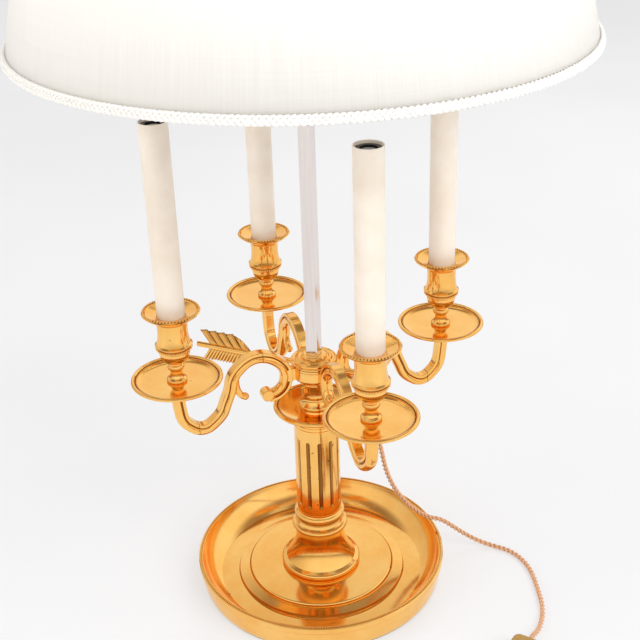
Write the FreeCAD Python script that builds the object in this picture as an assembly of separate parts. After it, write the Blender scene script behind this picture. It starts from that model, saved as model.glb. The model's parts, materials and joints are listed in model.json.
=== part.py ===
"""A four-light bouillotte lamp: a gilt brass stand with scrolled arms, a square rod and a sliding shade.

Millimetres, +Z up. The origin is the lamp's axis on the surface that it stands on. The arrow lies
along X with its feathers at -X, and the four arms stand at 45 degrees between the axes.
"""
import FreeCAD, Part
import math
import os

os.makedirs("parts", exist_ok=True)
V = FreeCAD.Vector
UP = V(0, 0, 1)
ORIGIN = V(0, 0, 0)

# Base
felt_thickness = 1.5
base_radius = 119.5
base_height = 27.5
base_wall = 3.0
rim_width = 4.0
foot_width = 9.0
floor_height = 6.0
floor_outer_radius = 97.0
step_outer_radius = 80.0
step_inner_radius = 69.0
step_rise = 3.0
plateau_height = 14.0

# Clamping of the stand: a hollow tie rod with a nut under the base
rod_clearance = 0.2
tie_radius = 5.0
tie_bore = 3.2
nut_across_flats = 17.0
nut_height = 5.8
washer_radius = 16.0
washer_thickness = 1.6

# Column
foot_top = 78.0
foot_flare_radius = 36.0
column_radius = 21.0
column_top = 177.0
column_wall = 5.0
column_end_plate = 4.0
flute_count = 12
flute_width = 3.8
flute_depth = 1.7
flute_bottom = 85.8
flute_top = 160.0
line_heights = (172.1, 175.2)
line_depth = 0.5

# Centre pan and neck
centre_pan_radius = 38.75
centre_pan_height = 15.0
centre_pan_floor = 10.0
pan_wall = 2.5
neck_height = 32.0
neck_foot_radius = 14.2
neck_waist_radius = 10.9
neck_top_radius = 14.2

# Hub and its cap
hub_radius = 20.5
hub_height = 15.7
hub_wall = 3.5
hub_floor = 3.0
hub_bowl_height = 5.5
cap_height = 8.5
cap_boss_radius = 11.8
cap_spigot = 0.9
rod_socket_depth = 6.2

# Square rod and finial
rod_side = 11.0
rod_top = 742.0
rod_spigot_length = 12.0
finial_height = 30.0

# Arms
arm_angles = {"front_left": 225, "front_right": 315, "back_right": 45, "back_left": 135}
candle_reach = 127.0
arm_top = 243.5
arm_half_width = 5.3
arm_half_thickness = 4.4
arm_ridge_width = 2.6
arm_groove_width = 1.1
arm_groove_depth = 1.3
arm_swell = 0.8
arm_edge_round = 0.6
arm_route = [
    (127.9, 224.0), (121.0, 199.5), (107.5, 191.6), (93.0, 199.0), (82.3, 219.0),
    (74.3, 240.5), (57.0, 251.3), (39.0, 246.4), (27.8, 229.0), (33.0, 214.6),
]
arm_end = (44.5, 210.6)
scroll_roll_centre = (46.6, 212.4)
scroll_roll_radius = 5.4
sprout_route = [(73.6, 238.0), (74.6, 228.0), (72.2, 219.6), (67.0, 215.0)]
sprout_radius = 3.1
sprout_end_radius = 3.5
arm_pad_width = 8.4
arm_pad_bottom = 222.5
arm_pad_top = 234.0
arm_collar_radius = 8.0
arm_collar_height = 5.0
screw_radius = 2.0
screw_head_radius = 3.4
screw_head_height = 2.0
screw_clearance = 0.1
screw_height = 228.5
screw_reach = 25.0

# Drip pans, cups and candles
drip_pan_radius = 39.8
drip_pan_height = 6.1
drip_pan_floor = 2.5
cup_height = 67.2
cup_flange_radius = 25.1
cup_seat_depth = 12.2
girdle_radius = 15.0
sleeve_radius = 12.0
sleeve_wall = 1.0
sleeve_top = 477.4
sleeve_clearance = 0.15
stem_radius = 3.5
stem_clearance = 0.1
stem_bottom = 236.0
holder_radius = 10.6
holder_length = 51.0
holder_inset = 2.4
socket_radius = 7.1
socket_depth = 28.0

# Arrow
arrow_height = 231.0
shaft_radius = 2.6
nock_reach = 119.8
shaft_inner_end = 16.5
head_start = 50.0
head_tip = 72.0
head_half_width = 9.0
head_thickness = 4.0
vane_thickness = 3.0
upper_vane = [(105.9, 231.0), (117.0, 246.7), (96.7, 248.3), (76.8, 248.6), (64.6, 231.0)]
lower_vane = [(106.4, 231.0), (114.8, 216.4), (96.8, 211.0), (83.3, 212.2), (68.0, 231.0)]

# Shade and its carrier
shade_bottom_radius = 230.0
shade_top_radius = 190.0
shade_bottom = 528.0
shade_height = 194.0
shade_wall = 1.2
braid_height = 8.0
braid_depth = 3.4
braid_gap = 0.15
bottom_wire_radius = 1.5
top_wire_radius = 2.0
wire_gap = 0.2
slider_clearance = 0.15
slider_radius = 13.0
slider_bottom = 686.0
slider_height = 25.0
slider_thread_radius = 10.0
slider_thread_height = 8.0
thread_clearance = 0.2
spider_radius = 17.5
spider_thickness = 2.5
spoke_radius = 1.75
spoke_count = 4
ring_nut_radius = 13.5
ring_nut_height = 4.5
clamp_height = 696.0
clamp_shank_radius = 2.5
clamp_boss_radius = 5.0
clamp_boss_end = 18.0
clamp_head_radius = 8.0
clamp_head_thickness = 5.0

# Cord, switch and plug
cord_radius = 2.5
cord_azimuth = 40.0
cord_exit_height = 166.0
bush_radius = 4.5
bush_flange_radius = 6.5
bush_flange = 2.5
bush_end = 28.0
bush_bore = 1.6
cord_route = [
    (21.4, 18.0, 166.0), (32.2, 27.0, 166.0), (39.8, 32.8, 159.5), (45.8, 36.4, 146.0),
    (49.5, 38.7, 128.0), (52.7, 40.5, 106.0), (58.9, 44.8, 84.0), (68.1, 51.7, 64.5),
    (78.8, 59.9, 49.0), (90.4, 68.2, 38.0), (99.3, 73.9, 35.6), (113.2, 81.9, 21.5),
    (128.0, 88.1, 9.5), (144.7, 92.4, 2.6), (169.3, 91.5, 2.6), (191.5, 74.1, 2.6),
    (207.0, 44.9, 2.6), (219.5, 17.0, 2.6), (222.4, -9.3, 2.6), (219.6, -27.1, 7.5),
    (218.1, -37.0, 7.5),
]
switch_length = 62.0
switch_width = 24.0
switch_bottom = 0.2
switch_split = 7.5
switch_top = 15.2
switch_wall = 2.2
switch_corner = 6.0
rocker_radius = 7.6
rocker_width = 8.0
rocker_clearance = 0.3
rocker_pivot_height = 9.5
rocker_axle_radius = 1.2
rocker_axle_clearance = 0.05
rocker_axle_length = 12.0
rocker_floor = 2.5
rocker_throw = 12.0
coil_outer_radius = 38.5
coil_pitch = 5.6
coil_turns_in = 3.25
coil_climb_turns = 0.5
coil_height = 3.7
coil_start_angle = 24.525 - 40.0
coil_centre = (161.0, -135.8)
coil_lead = 5.0
tail_runs = (9.0, 18.0)
end_runs = (8.0, 10.0, 8.0)
tie_angle = 130.0
tie_width = 5.0
tie_thickness = 0.8
tie_gap = 0.3
plug_length = 36.0
plug_width = 26.0
plug_thickness = 13.6
plug_nose = 6.0
plug_axis_height = 7.0
pin_radius = 2.0
pin_length = 19.0
pin_spacing = 19.0

# Heights that follow from the sizes above
pan_bottom = column_top
neck_bottom = pan_bottom + centre_pan_floor
hub_bottom = neck_bottom + neck_height
hub_top = hub_bottom + hub_height
cap_top = hub_top + cap_height
rod_bottom = cap_top - rod_socket_depth
base_underside = plateau_height - base_wall
drip_floor_top = arm_top + drip_pan_floor
cup_top = drip_floor_top + cup_height
cup_seat = cup_top - cup_seat_depth
holder_top = sleeve_top - holder_inset
holder_bottom = holder_top - holder_length
shade_top = shade_bottom + shade_height
slider_top = slider_bottom + slider_height
coil_turns = 2 * coil_turns_in + coil_climb_turns
coil_inner_radius = coil_outer_radius - coil_pitch * coil_turns / 2


def save(name, shape):
    """Write one piece to its own file."""
    if not shape.isValid():
        print("not valid:", name)
    shape.exportStep("parts/" + name + ".step")
    print(name, len(shape.Solids), round(shape.Volume, 1))


def outline(points):
    """A closed face in the XZ plane. (r, z) is a straight line to there, and
    (r, z, rm, zm) an arc to (r, z) through (rm, zm)."""
    edges = []
    here = V(points[0][0], 0, points[0][1])
    for step in points[1:] + [points[0]]:
        there = V(step[0], 0, step[1])
        if len(step) == 4:
            edges.append(Part.Arc(here, V(step[2], 0, step[3]), there).toShape())
        else:
            edges.append(Part.LineSegment(here, there).toShape())
        here = there
    return Part.Face(Part.Wire(edges))


def turned(points):
    """A piece turned on a lathe about the lamp's axis."""
    return outline(points).revolve(ORIGIN, UP, 360)


def tube(radius, bore, bottom, top):
    """An upright tube, or a rod where the bore is 0."""
    body = Part.makeCylinder(radius, top - bottom, V(0, 0, bottom))
    if bore > 0:
        body = body.cut(Part.makeCylinder(bore, top - bottom + 2, V(0, 0, bottom - 1)))
    return body


def at_angle(shape, degrees):
    """A copy turned about the lamp's axis."""
    copy = shape.copy()
    copy.rotate(ORIGIN, UP, degrees)
    return copy


def moved(shape, x=0.0, y=0.0, z=0.0):
    """A copy moved by these distances."""
    copy = shape.copy()
    copy.translate(V(x, y, z))
    return copy


def unit(vector):
    return vector * (1.0 / vector.Length)


def arc_edge(start, tangent, end):
    """The arc that leaves start along tangent and ends at end."""
    chord = end - start
    along = unit(chord)
    side = tangent - along * tangent.dot(along)
    if side.Length < 1e-6:
        return Part.LineSegment(start, end).toShape()
    half_angle = math.atan2(side.Length, tangent.dot(along))
    middle = start + chord * 0.5 + unit(side) * (0.5 * chord.Length * math.tan(half_angle / 2))
    return Part.Arc(start, middle, end).toShape()


def biarc(start, start_tangent, end, end_tangent):
    """Two arcs that join two points and keep the tangent at each."""
    step = end - start
    tangents = start_tangent + end_tangent
    curl = 2 * (1 - start_tangent.dot(end_tangent))
    lean = step.dot(tangents)
    if curl < 1e-9:
        return [arc_edge(start, start_tangent, end)]
    reach = (-lean + math.sqrt(lean * lean + curl * step.dot(step))) / curl
    joint = (start + end + (start_tangent - end_tangent) * reach) * 0.5
    return [arc_edge(start, start_tangent, joint),
            arc_edge(joint, unit(end - end_tangent * reach - joint), end)]


def sweep(edges, section):
    """A closed section carried along a path."""
    return Part.Wire(edges).makePipeShell([section], True, False)


def cord_tube(points, name):
    """A tube of straight runs joined by tangent arcs."""
    points = [V(*p) for p in points]
    edges = []
    radii = []
    here = points[0]
    for before, corner, after in zip(points, points[1:], points[2:]):
        run_in = corner - before
        run_out = after - corner
        turn = run_in.getAngle(run_out)
        trim = 0.45 * min(run_in.Length, run_out.Length)
        radii.append(trim / math.tan(turn / 2))
        arc_start = corner - unit(run_in) * trim
        arc_end = corner + unit(run_out) * trim
        edges.append(Part.LineSegment(here, arc_start).toShape())
        edges.append(arc_edge(arc_start, unit(run_in), arc_end))
        here = arc_end
    edges.append(Part.LineSegment(here, points[-1]).toShape())
    path = Part.Wire(edges)
    circle = Part.makeCircle(cord_radius, points[0], points[1] - points[0])
    solid = sweep(edges, Part.Wire([circle]))
    print(name, "length", round(path.Length, 1), "radii", [round(r, 1) for r in radii])
    ideal = math.pi * cord_radius ** 2 * path.Length
    print(name, "volume against section times length", round(solid.Volume / ideal, 4))
    return solid, path.Length


# Base

def base_dish():
    """A cast dish: a beaded rim, a hollowed wall, a low floor and a stepped middle."""
    under = floor_height - base_wall
    foot_outer = base_radius - 4.5
    wall_foot = floor_outer_radius + 1.0
    return turned([
        (tie_radius + rod_clearance, plateau_height),
        (tie_radius + rod_clearance, base_underside),
        (step_inner_radius - 5, base_underside),
        (step_inner_radius - 3, under + step_rise),
        (step_outer_radius - 2, under + step_rise - 1),
        (step_outer_radius, under),
        (foot_outer - foot_width, under),
        (foot_outer - foot_width, felt_thickness),
        (foot_outer, felt_thickness),
        (foot_outer + 1.5, floor_height),
        (base_radius - 1.5, base_height - 7.5, base_radius - 2.2, base_height - 15),
        (base_radius, base_height - 5.5),
        (base_radius, base_height - 0.8),
        (base_radius - 0.8, base_height),
        (base_radius - rim_width, base_height),
        (base_radius - rim_width - 1, base_height - 2.5),
        (wall_foot, floor_height, base_radius - 11.5, floor_height + 8),
        (step_outer_radius + 1.2, floor_height),
        (step_outer_radius, floor_height + step_rise, step_outer_radius + 0.2, floor_height + 1.8),
        (step_inner_radius + 1.5, floor_height + step_rise + 1.2),
        (step_inner_radius, plateau_height, step_inner_radius + 1.2, plateau_height - 1.2),
    ])


def base_nut():
    radius = nut_across_flats / math.sqrt(3)
    corners = [V(radius * math.cos(math.radians(60 * i)), radius * math.sin(math.radians(60 * i)), 0)
               for i in range(6)]
    hexagon = Part.Face(Part.makePolygon(corners + [corners[0]]))
    top = base_underside - washer_thickness
    body = moved(hexagon.extrude(UP * nut_height), z=top - nut_height)
    return body.cut(Part.makeCylinder(tie_radius + rod_clearance, 40, V(0, 0, 0)))


# Column

def column_foot():
    """The column's turned socle: a flared foot, a torus, a bead ring and a second torus."""
    low = plateau_height
    return turned([
        (tie_radius + rod_clearance, low),
        (foot_flare_radius, low),
        (foot_flare_radius, low + 6, foot_flare_radius + 2.2, low + 3),
        (foot_flare_radius - 2.5, low + 7.5),
        (23.2, foot_top - 22.5, 26.0, low + 21),
        (23.6, foot_top - 21.5),
        (23.6, foot_top - 16, 26.6, foot_top - 18.8),
        (22.4, foot_top - 15),
        (21.6, foot_top - 12),
        (21.6, foot_top - 9.5),
        (22.2, foot_top - 8.2),
        (22.2, foot_top - 2.4, 24.0, foot_top - 5.3),
        (21.4, foot_top - 1.4),
        (21.4, foot_top),
        (tie_radius + rod_clearance, foot_top),
    ])


def fluted_column():
    """A hollow column with rounded flutes, two thin turned lines and the cord's hole."""
    inner = column_radius - column_wall
    bore = tie_radius + rod_clearance
    lines = []
    for height in line_heights:
        lines += [(column_radius, height - line_depth), (column_radius - line_depth, height),
                  (column_radius, height + line_depth)]
    body = turned([(bore, foot_top), (column_radius, foot_top)] + lines + [
        (column_radius, column_top), (bore, column_top),
        (bore, column_top - column_end_plate), (inner, column_top - column_end_plate),
        (inner, foot_top + column_end_plate), (bore, foot_top + column_end_plate)])
    half = flute_width / 2
    reach = column_radius - flute_depth + half
    length = flute_top - flute_bottom - flute_width
    cutter = Part.makeCylinder(half, length, V(reach, 0, flute_bottom + half))
    cutter = cutter.fuse([Part.makeSphere(half, V(reach, 0, flute_bottom + half)),
                          Part.makeSphere(half, V(reach, 0, flute_top - half))])
    for i in range(flute_count):
        body = body.cut(at_angle(cutter, 360.0 * i / flute_count))
    hole = Part.makeCylinder(bush_radius, 12, V(column_radius - column_wall - 4, 0, cord_exit_height),
                             V(1, 0, 0))
    return body.cut(at_angle(hole, cord_azimuth))


# Middle of the stand

def centre_pan():
    top = pan_bottom + centre_pan_height
    floor = pan_bottom + centre_pan_floor
    bore = tie_radius + rod_clearance
    return turned([
        (bore, pan_bottom), (column_radius - 1, pan_bottom),
        (column_radius, pan_bottom + 1.5),
        (centre_pan_radius - 2, top - 4.5, 29.5, pan_bottom + 5.2),
        (centre_pan_radius, top - 3.2),
        (centre_pan_radius, top - 0.9, centre_pan_radius + 0.5, top - 2),
        (centre_pan_radius - 2.6, top, centre_pan_radius - 1.2, top + 0.1),
        (centre_pan_radius - 3.6, top - 1.2),
        (neck_foot_radius + 4, floor, 26, floor + 1.1),
        (bore, floor),
    ])


def neck():
    """A waisted baluster between the pan and the hub."""
    low = neck_bottom
    high = hub_bottom
    bore = tie_radius + rod_clearance
    foot = neck_foot_radius
    waist = neck_waist_radius
    collar = neck_top_radius
    return turned([
        (bore, low), (foot, low), (foot - 0.6, low + 1.2), (foot, low + 2),
        (foot, low + 6.8, foot + 1.4, low + 4.4), (foot - 1, low + 7.6),
        (waist, low + 15, waist + 0.4, low + 11),
        (collar - 2.4, high - 5, waist - 0.2, high - 11),
        (collar - 1, high - 4.1), (collar - 1.2, high - 2.4, collar - 0.4, high - 3.2),
        (collar, high - 1.6), (collar, high, collar + 0.7, high - 0.8),
        (bore, high),
    ])


def arm_hub():
    """A hollow drum that holds the arms, the arrow and the wiring."""
    bore = tie_radius + rod_clearance
    inner = hub_radius - hub_wall
    body = turned([
        (bore, hub_bottom), (neck_top_radius + 0.4, hub_bottom),
        (hub_radius, hub_bottom + hub_bowl_height, hub_radius - 1.6, hub_bottom + 2),
        (hub_radius, hub_top - 2.4), (hub_radius - 0.4, hub_top - 2.1), (hub_radius, hub_top - 1.8),
        (hub_radius, hub_top), (inner, hub_top), (inner, hub_bottom + hub_floor),
        (bore, hub_bottom + hub_floor)])
    screw_hole = Part.makeCylinder(screw_radius + screw_clearance, 8, V(inner - 2, 0, screw_height), V(1, 0, 0))
    for degrees in arm_angles.values():
        body = body.cut(at_angle(screw_hole, degrees))
    shaft_hole = Part.makeCylinder(shaft_radius, 8, V(inner - 2, 0, arrow_height), V(1, 0, 0))
    return body.cut([shaft_hole, at_angle(shaft_hole, 180)])


def hub_cap():
    """The hub's lid, with the square socket that the rod stands in."""
    bore = tie_radius + rod_clearance
    spigot = hub_radius - hub_wall - 0.1
    rim = hub_radius
    low = hub_top
    boss = cap_boss_radius
    body = turned([
        (bore, hub_top - cap_spigot), (spigot, hub_top - cap_spigot), (spigot, hub_top),
        (rim - 1.3, low), (rim - 0.3, low + 0.2),
        (rim - 0.3, low + 2.2, rim + 0.4, low + 1.2), (rim - 1.1, low + 2.9),
        (rim - 0.3, low + 3.5), (rim - 0.1, low + 4.5), (rim - 1.3, low + 5.2, rim - 0.4, low + 5.1),
        (boss + 4.8, low + 5.0, rim - 2.5, low + 4.7), (boss + 3.8, low + 5.8),
        (boss + 1.6, low + 6.2, boss + 2.8, low + 6.5), (boss, low + 5.9, boss + 0.8, low + 5.7),
        (boss - 0.4, cap_top - 1.2), (boss - 1.4, cap_top - 0.2), (boss - 2.8, cap_top), (bore, cap_top)])
    side = rod_side + 2 * rod_clearance
    socket = Part.makeBox(side, side, 20, V(-side / 2, -side / 2, rod_bottom))
    return body.cut(socket)


def square_rod():
    bar = Part.makeBox(rod_side, rod_side, rod_top - rod_bottom, V(-rod_side / 2, -rod_side / 2, rod_bottom))
    bar = bar.makeChamfer(0.5, [e for e in bar.Edges if abs(e.Vertexes[0].Z - e.Vertexes[1].Z) > 1])
    spigot = tube(tie_bore - 0.1, 0, rod_bottom - rod_spigot_length, rod_bottom + 1)
    return bar.fuse(spigot)


def rod_finial():
    """A turned knob that closes the rod and stops the shade."""
    low = rod_top
    high = rod_top + finial_height
    return turned([
        (0, low), (9, low), (9, low + 2.5, 9.8, low + 1.2), (5.5, low + 4),
        (4.6, low + 8, 4.4, low + 6), (8.2, low + 12.5), (8.2, low + 14.5, 9, low + 13.5),
        (5.6, low + 16.5), (5.4, high - 4, 8.4, low + 22), (2.2, high - 2.4),
        (1.0, high - 1.0, 1.9, high - 1.5), (0, high - 1.0)])


# Arms

def arm_section():
    """The arm's moulded outline: a narrow ridge, a groove on each side, and a broad swelling body."""
    w = arm_half_width
    t = arm_half_thickness
    e = arm_edge_round
    groove_start = -w + arm_ridge_width
    groove_end = groove_start + arm_groove_width
    groove = t - arm_groove_depth

    def p(u, v):
        return V(candle_reach + u, v, arm_top)

    def half(side):
        """The points from the ridge's edge to the body's edge, on one side."""
        return [
            ("line", p(-w + e, side * t)),
            ("line", p(groove_start, side * t)),
            ("line", p(groove_start + 0.4, side * groove)),
            ("line", p(groove_end, side * groove)),
            ("arc", p(w * 0.2, side * (t + arm_swell)), p(w - e, side * (t - 1.2))),
        ]

    steps = [("arc", p(-w, t - e * 0.4), p(-w + e, t))] + half(1)[1:]
    steps.append(("arc", p(w + 0.3, 0), p(w - e, -(t - 1.2))))
    steps.append(("arc", p(w * 0.2, -(t + arm_swell)), p(groove_end, -groove)))
    steps += [("line", p(groove_start + 0.4, -groove)), ("line", p(groove_start, -t)),
              ("line", p(-w + e, -t)), ("arc", p(-w, -(t - e * 0.4)), p(-w - 0.1, -(t - e) * 0.9))]
    start = p(-w - 0.1, (t - e) * 0.9)
    steps.append(("line", start))
    edges = []
    here = start
    for step in steps:
        if step[0] == "arc":
            edges.append(Part.Arc(here, step[1], step[2]).toShape())
        else:
            edges.append(Part.LineSegment(here, step[1]).toShape())
        here = step[-1]
    return Part.Wire(edges)


def arm_path():
    """Arcs from under the drip pan, down and up through the double curve, to the scroll at the hub."""
    points = [V(candle_reach, 0, arm_top)] + [V(r, 0, z) for r, z in arm_route] + [V(arm_end[0], 0, arm_end[1])]
    tangents = [V(0, 0, -1)]
    for before, here, after in zip(points, points[1:], points[2:]):
        to_here = here - before
        to_next = after - here
        tangents.append(unit(to_here * (1 / to_here.Length ** 2) + to_next * (1 / to_next.Length ** 2)))
    tangents.append(V(1, 0, 0))
    edges = []
    for i in range(len(points) - 1):
        edges += biarc(points[i], tangents[i], points[i + 1], tangents[i + 1])
    return edges


def arm():
    body = sweep(arm_path(), arm_section())
    collar = turned_at(candle_reach, [
        (0, arm_top - arm_collar_height), (arm_half_width + 0.4, arm_top - arm_collar_height),
        (arm_collar_radius, arm_top - arm_collar_height + 2),
        (arm_collar_radius, arm_top - 0.6, arm_collar_radius + 0.6, arm_top - 1.9),
        (arm_collar_radius - 0.6, arm_top), (0, arm_top)])
    a, b, c, d = [V(r, 0, z) for r, z in sprout_route]
    stem = [Part.Arc(a, b, c).toShape()]
    leaving = unit(stem[0].tangentAt(stem[0].LastParameter))
    stem.append(arc_edge(c, leaving, d))
    way = unit(stem[0].tangentAt(stem[0].FirstParameter))
    sprout = sweep(stem, Part.Wire([Part.makeCircle(sprout_radius, a, way)]))
    tip = Part.makeSphere(sprout_end_radius, d)
    full = arm_half_thickness + arm_swell
    roll = Part.makeCylinder(scroll_roll_radius, 2 * full,
                             V(scroll_roll_centre[0], -full, scroll_roll_centre[1]), V(0, 1, 0))
    roll = roll.makeFillet(0.8, roll.Edges)
    pad = Part.makeBox(10, arm_pad_width, arm_pad_top - arm_pad_bottom,
                       V(hub_radius - 3, -arm_pad_width / 2, arm_pad_bottom))
    body = body.fuse([collar, sprout, tip, roll, pad])
    body = body.cut(Part.makeCylinder(hub_radius, 40, V(0, 0, arm_pad_bottom - 10)))
    body = body.cut(Part.makeCylinder(screw_radius + screw_clearance, screw_reach - hub_radius + 2,
                                      V(hub_radius - 1.5, 0, screw_height), V(1, 0, 0)))
    return body.cut(Part.makeCylinder(stem_radius + stem_clearance, arm_top - stem_bottom + 1,
                                      V(candle_reach, 0, stem_bottom)))


def turned_at(reach, points):
    """A turned piece that stands at this distance from the lamp's axis along +X."""
    return moved(turned(points), x=reach)


def arm_screw():
    inner = hub_radius - hub_wall
    start = inner - screw_head_height / 2
    shank = Part.makeCylinder(screw_radius, screw_reach - start, V(start, 0, screw_height), V(1, 0, 0))
    head = Part.makeCylinder(screw_head_radius, screw_head_height,
                             V(inner - screw_head_height, 0, screw_height), V(1, 0, 0))
    # The drum's wall is curved, so the head's underside follows it.
    drum = tube(hub_radius, inner, screw_height - 10, screw_height + 10)
    return head.cut(drum).fuse(shank)


# Candles

def drip_pan():
    low = arm_top
    top = low + drip_pan_height
    floor = low + drip_pan_floor
    r = drip_pan_radius
    return turned_at(candle_reach, [
        (stem_radius + stem_clearance, low), (r - 10, low),
        (r - 2.2, top - 3.4, r - 5, low + 1.1), (r - 0.5, top - 2.6),
        (r - 0.5, top - 0.5, r, top - 1.5),
        (r - 2.6, top, r - 1.2, top + 0.1), (r - 3.6, top - 1.2),
        (r - 10, floor, r - 6, floor + 0.9), (stem_radius + stem_clearance, floor)])


def candle_cup():
    """A vase-shaped cup: ring foot, stem, bulb, beaded girdle, body and a wide dished flange."""
    z0 = drip_floor_top
    top = cup_top
    bore = stem_radius + stem_clearance
    seat = sleeve_radius + sleeve_clearance
    return turned_at(candle_reach, [
        (bore, z0), (8.2, z0),
        (8.2, z0 + 3, 9, z0 + 1.5),
        (6.6, z0 + 4.2),
        (5.3, z0 + 10.6, 5.4, z0 + 7.2),
        (5.8, z0 + 11.4),
        (5.8, z0 + 16.6, 7.4, z0 + 14),
        (5.6, z0 + 17.6),
        (girdle_radius - 1.7, z0 + 30.2, girdle_radius - 3.8, z0 + 22.2),
        (girdle_radius - 0.8, z0 + 31),
        (girdle_radius - 1, z0 + 34.6),
        (girdle_radius + 0.6, z0 + 35.4),
        (girdle_radius + 0.8, z0 + 36.5, girdle_radius + 1.1, z0 + 36),
        (girdle_radius - 0.6, z0 + 37.6),
        (13.5, z0 + 56.6, 13.1, z0 + 46),
        (13.6, z0 + 57.4), (13.2, z0 + 57.9), (13.7, z0 + 58.4),
        (15.6, z0 + 60.2),
        (cup_flange_radius - 0.7, top - 1.6, cup_flange_radius - 5.5, top - 5.3),
        (cup_flange_radius - 0.1, top - 0.8),
        (cup_flange_radius - 0.9, top - 0.1),
        (cup_flange_radius - 2.7, top - 0.3),
        (cup_flange_radius - 3.3, top - 1.1),
        (seat, top - 3.8, seat + 5, top - 2.5),
        (seat, cup_seat), (bore, cup_seat)])


def candle_sleeve():
    return moved(tube(sleeve_radius, sleeve_radius - sleeve_wall, cup_seat, sleeve_top), x=candle_reach)


def lampholder():
    """A slim lampholder that hides in the top of the sleeve, with its socket open upwards."""
    body = tube(holder_radius, 0, holder_bottom, holder_top)
    body = body.cut(Part.makeCylinder(socket_radius, socket_depth + 1, V(0, 0, holder_top - socket_depth)))
    body = body.cut(Part.makeCylinder(stem_radius + stem_clearance, 7, V(0, 0, holder_bottom - 1)))
    return moved(body, x=candle_reach)


def lampholder_stem():
    return moved(tube(stem_radius, stem_radius - 1.2, stem_bottom, holder_bottom + 6), x=candle_reach)


# Arrow

def arrow_shafts():
    """The arrow is two lengths, one screwed into each side of the hub."""
    back = Part.makeCylinder(shaft_radius, nock_reach - shaft_inner_end,
                             V(-nock_reach, 0, arrow_height), V(1, 0, 0))
    front = Part.makeCylinder(shaft_radius, head_start - shaft_inner_end,
                              V(shaft_inner_end, 0, arrow_height), V(1, 0, 0))
    return Part.makeCompound([back, front])


def arrow_fletching():
    shafts = arrow_shafts()
    vanes = []
    for points in (upper_vane, lower_vane):
        corners = [V(-r, -vane_thickness / 2, z) for r, z in points]
        face = Part.Face(Part.makePolygon(corners + [corners[0]]))
        vanes.append(face.extrude(V(0, vane_thickness, 0)).cut(shafts))
    return Part.makeCompound(vanes)


def arrow_head():
    z = arrow_height
    barb = head_start - 4
    corners = [V(x, -head_thickness / 2, y) for x, y in (
        (head_start, z - 3), (barb, z - head_half_width), (head_tip, z), (barb, z + head_half_width),
        (head_start, z + 3))]
    return Part.Face(Part.makePolygon(corners + [corners[0]])).extrude(V(0, head_thickness, 0))


# Shade

def shade_radius_at(height):
    share = (height - shade_bottom) / shade_height
    return shade_bottom_radius + (shade_top_radius - shade_bottom_radius) * share


def shade_panel():
    return turned([
        (shade_bottom_radius - shade_wall, shade_bottom), (shade_bottom_radius, shade_bottom),
        (shade_top_radius, shade_top), (shade_top_radius - shade_wall, shade_top)])


def braid(bottom):
    """A braid glued round the shade's edge."""
    low = shade_radius_at(bottom) + braid_gap
    high = shade_radius_at(bottom + braid_height) + braid_gap
    middle = bottom + braid_height / 2
    return turned([(low, bottom), (high, bottom + braid_height, (low + high) / 2 + braid_depth, middle)])


def wire_ring(radius, height):
    """A round wire inside the shade, a hair clear of the panel."""
    slope = math.atan2(shade_bottom_radius - shade_top_radius, shade_height)
    centre = shade_radius_at(height) - shade_wall - (radius + wire_gap) / math.cos(slope)
    return Part.makeTorus(centre, radius, V(0, 0, height)), centre


def shade_slider():
    """The collar that slides on the square rod, with the boss for its clamp screw."""
    body = turned([
        (0, slider_bottom), (slider_radius - 1.5, slider_bottom),
        (slider_radius, slider_bottom + 1.5), (slider_radius, slider_top - 5),
        (slider_radius + 1.5, slider_top - 3.5), (slider_radius + 1.5, slider_top),
        (slider_thread_radius, slider_top), (slider_thread_radius, slider_top + slider_thread_height),
        (0, slider_top + slider_thread_height)])
    boss = Part.makeCylinder(clamp_boss_radius, clamp_boss_end - 8, V(8, 0, clamp_height), V(1, 0, 0))
    side = rod_side + 2 * slider_clearance
    bore = Part.makeBox(side, side, 60, V(-side / 2, -side / 2, slider_bottom - 10))
    hole = Part.makeCylinder(clamp_shank_radius + 0.05, 20, V(2, 0, clamp_height), V(1, 0, 0))
    return body.fuse(boss).cut([bore, hole])


def shade_spider(ring, ring_centre):
    """A plate on the collar and four spokes out to the shade's top wire."""
    bore = slider_thread_radius + thread_clearance
    plate = tube(spider_radius, bore, slider_top, slider_top + spider_thickness)
    start = V(spider_radius - 2, 0, slider_top + spider_thickness / 2)
    lean = V(ring_centre, 0, shade_top - 4) - start
    spoke = Part.makeCylinder(spoke_radius, lean.Length, start, lean)
    spokes = [at_angle(spoke, 360.0 * i / spoke_count) for i in range(spoke_count)]
    return plate.fuse(spokes).cut(ring).cut(tube(bore, 0, slider_top - 5, slider_top + 20))


def clamp_screw():
    """A thumb screw whose tip bears on the square rod."""
    tip = rod_side / 2 + wire_gap
    shank = Part.makeCylinder(clamp_shank_radius, clamp_boss_end + 2 - tip, V(tip, 0, clamp_height), V(1, 0, 0))
    collar = Part.makeCylinder(clamp_shank_radius + 1.5, 3, V(clamp_boss_end + wire_gap, 0, clamp_height),
                               V(1, 0, 0))
    head = Part.makeCylinder(clamp_head_radius, clamp_head_thickness, V(clamp_boss_end + 3, 0, clamp_height),
                             V(1, 0, 0))
    return shank.fuse([collar, head])


# Cord, switch and plug

def cord_bush():
    """The bush in the column's side that the cord comes out of."""
    inner = column_radius - column_wall
    body = Part.makeCylinder(bush_radius, bush_end - inner, V(inner, 0, cord_exit_height), V(1, 0, 0))
    flange = Part.makeCylinder(bush_flange_radius, bush_flange, V(column_radius - 0.5, 0, cord_exit_height),
                               V(1, 0, 0))
    flange = flange.cut(tube(column_radius, 0, cord_exit_height - 12, cord_exit_height + 12))
    bore = Part.makeCylinder(bush_bore, 60, V(inner - 10, 0, cord_exit_height), V(1, 0, 0))
    return at_angle(body.fuse(flange).cut(bore), cord_azimuth)


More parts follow.
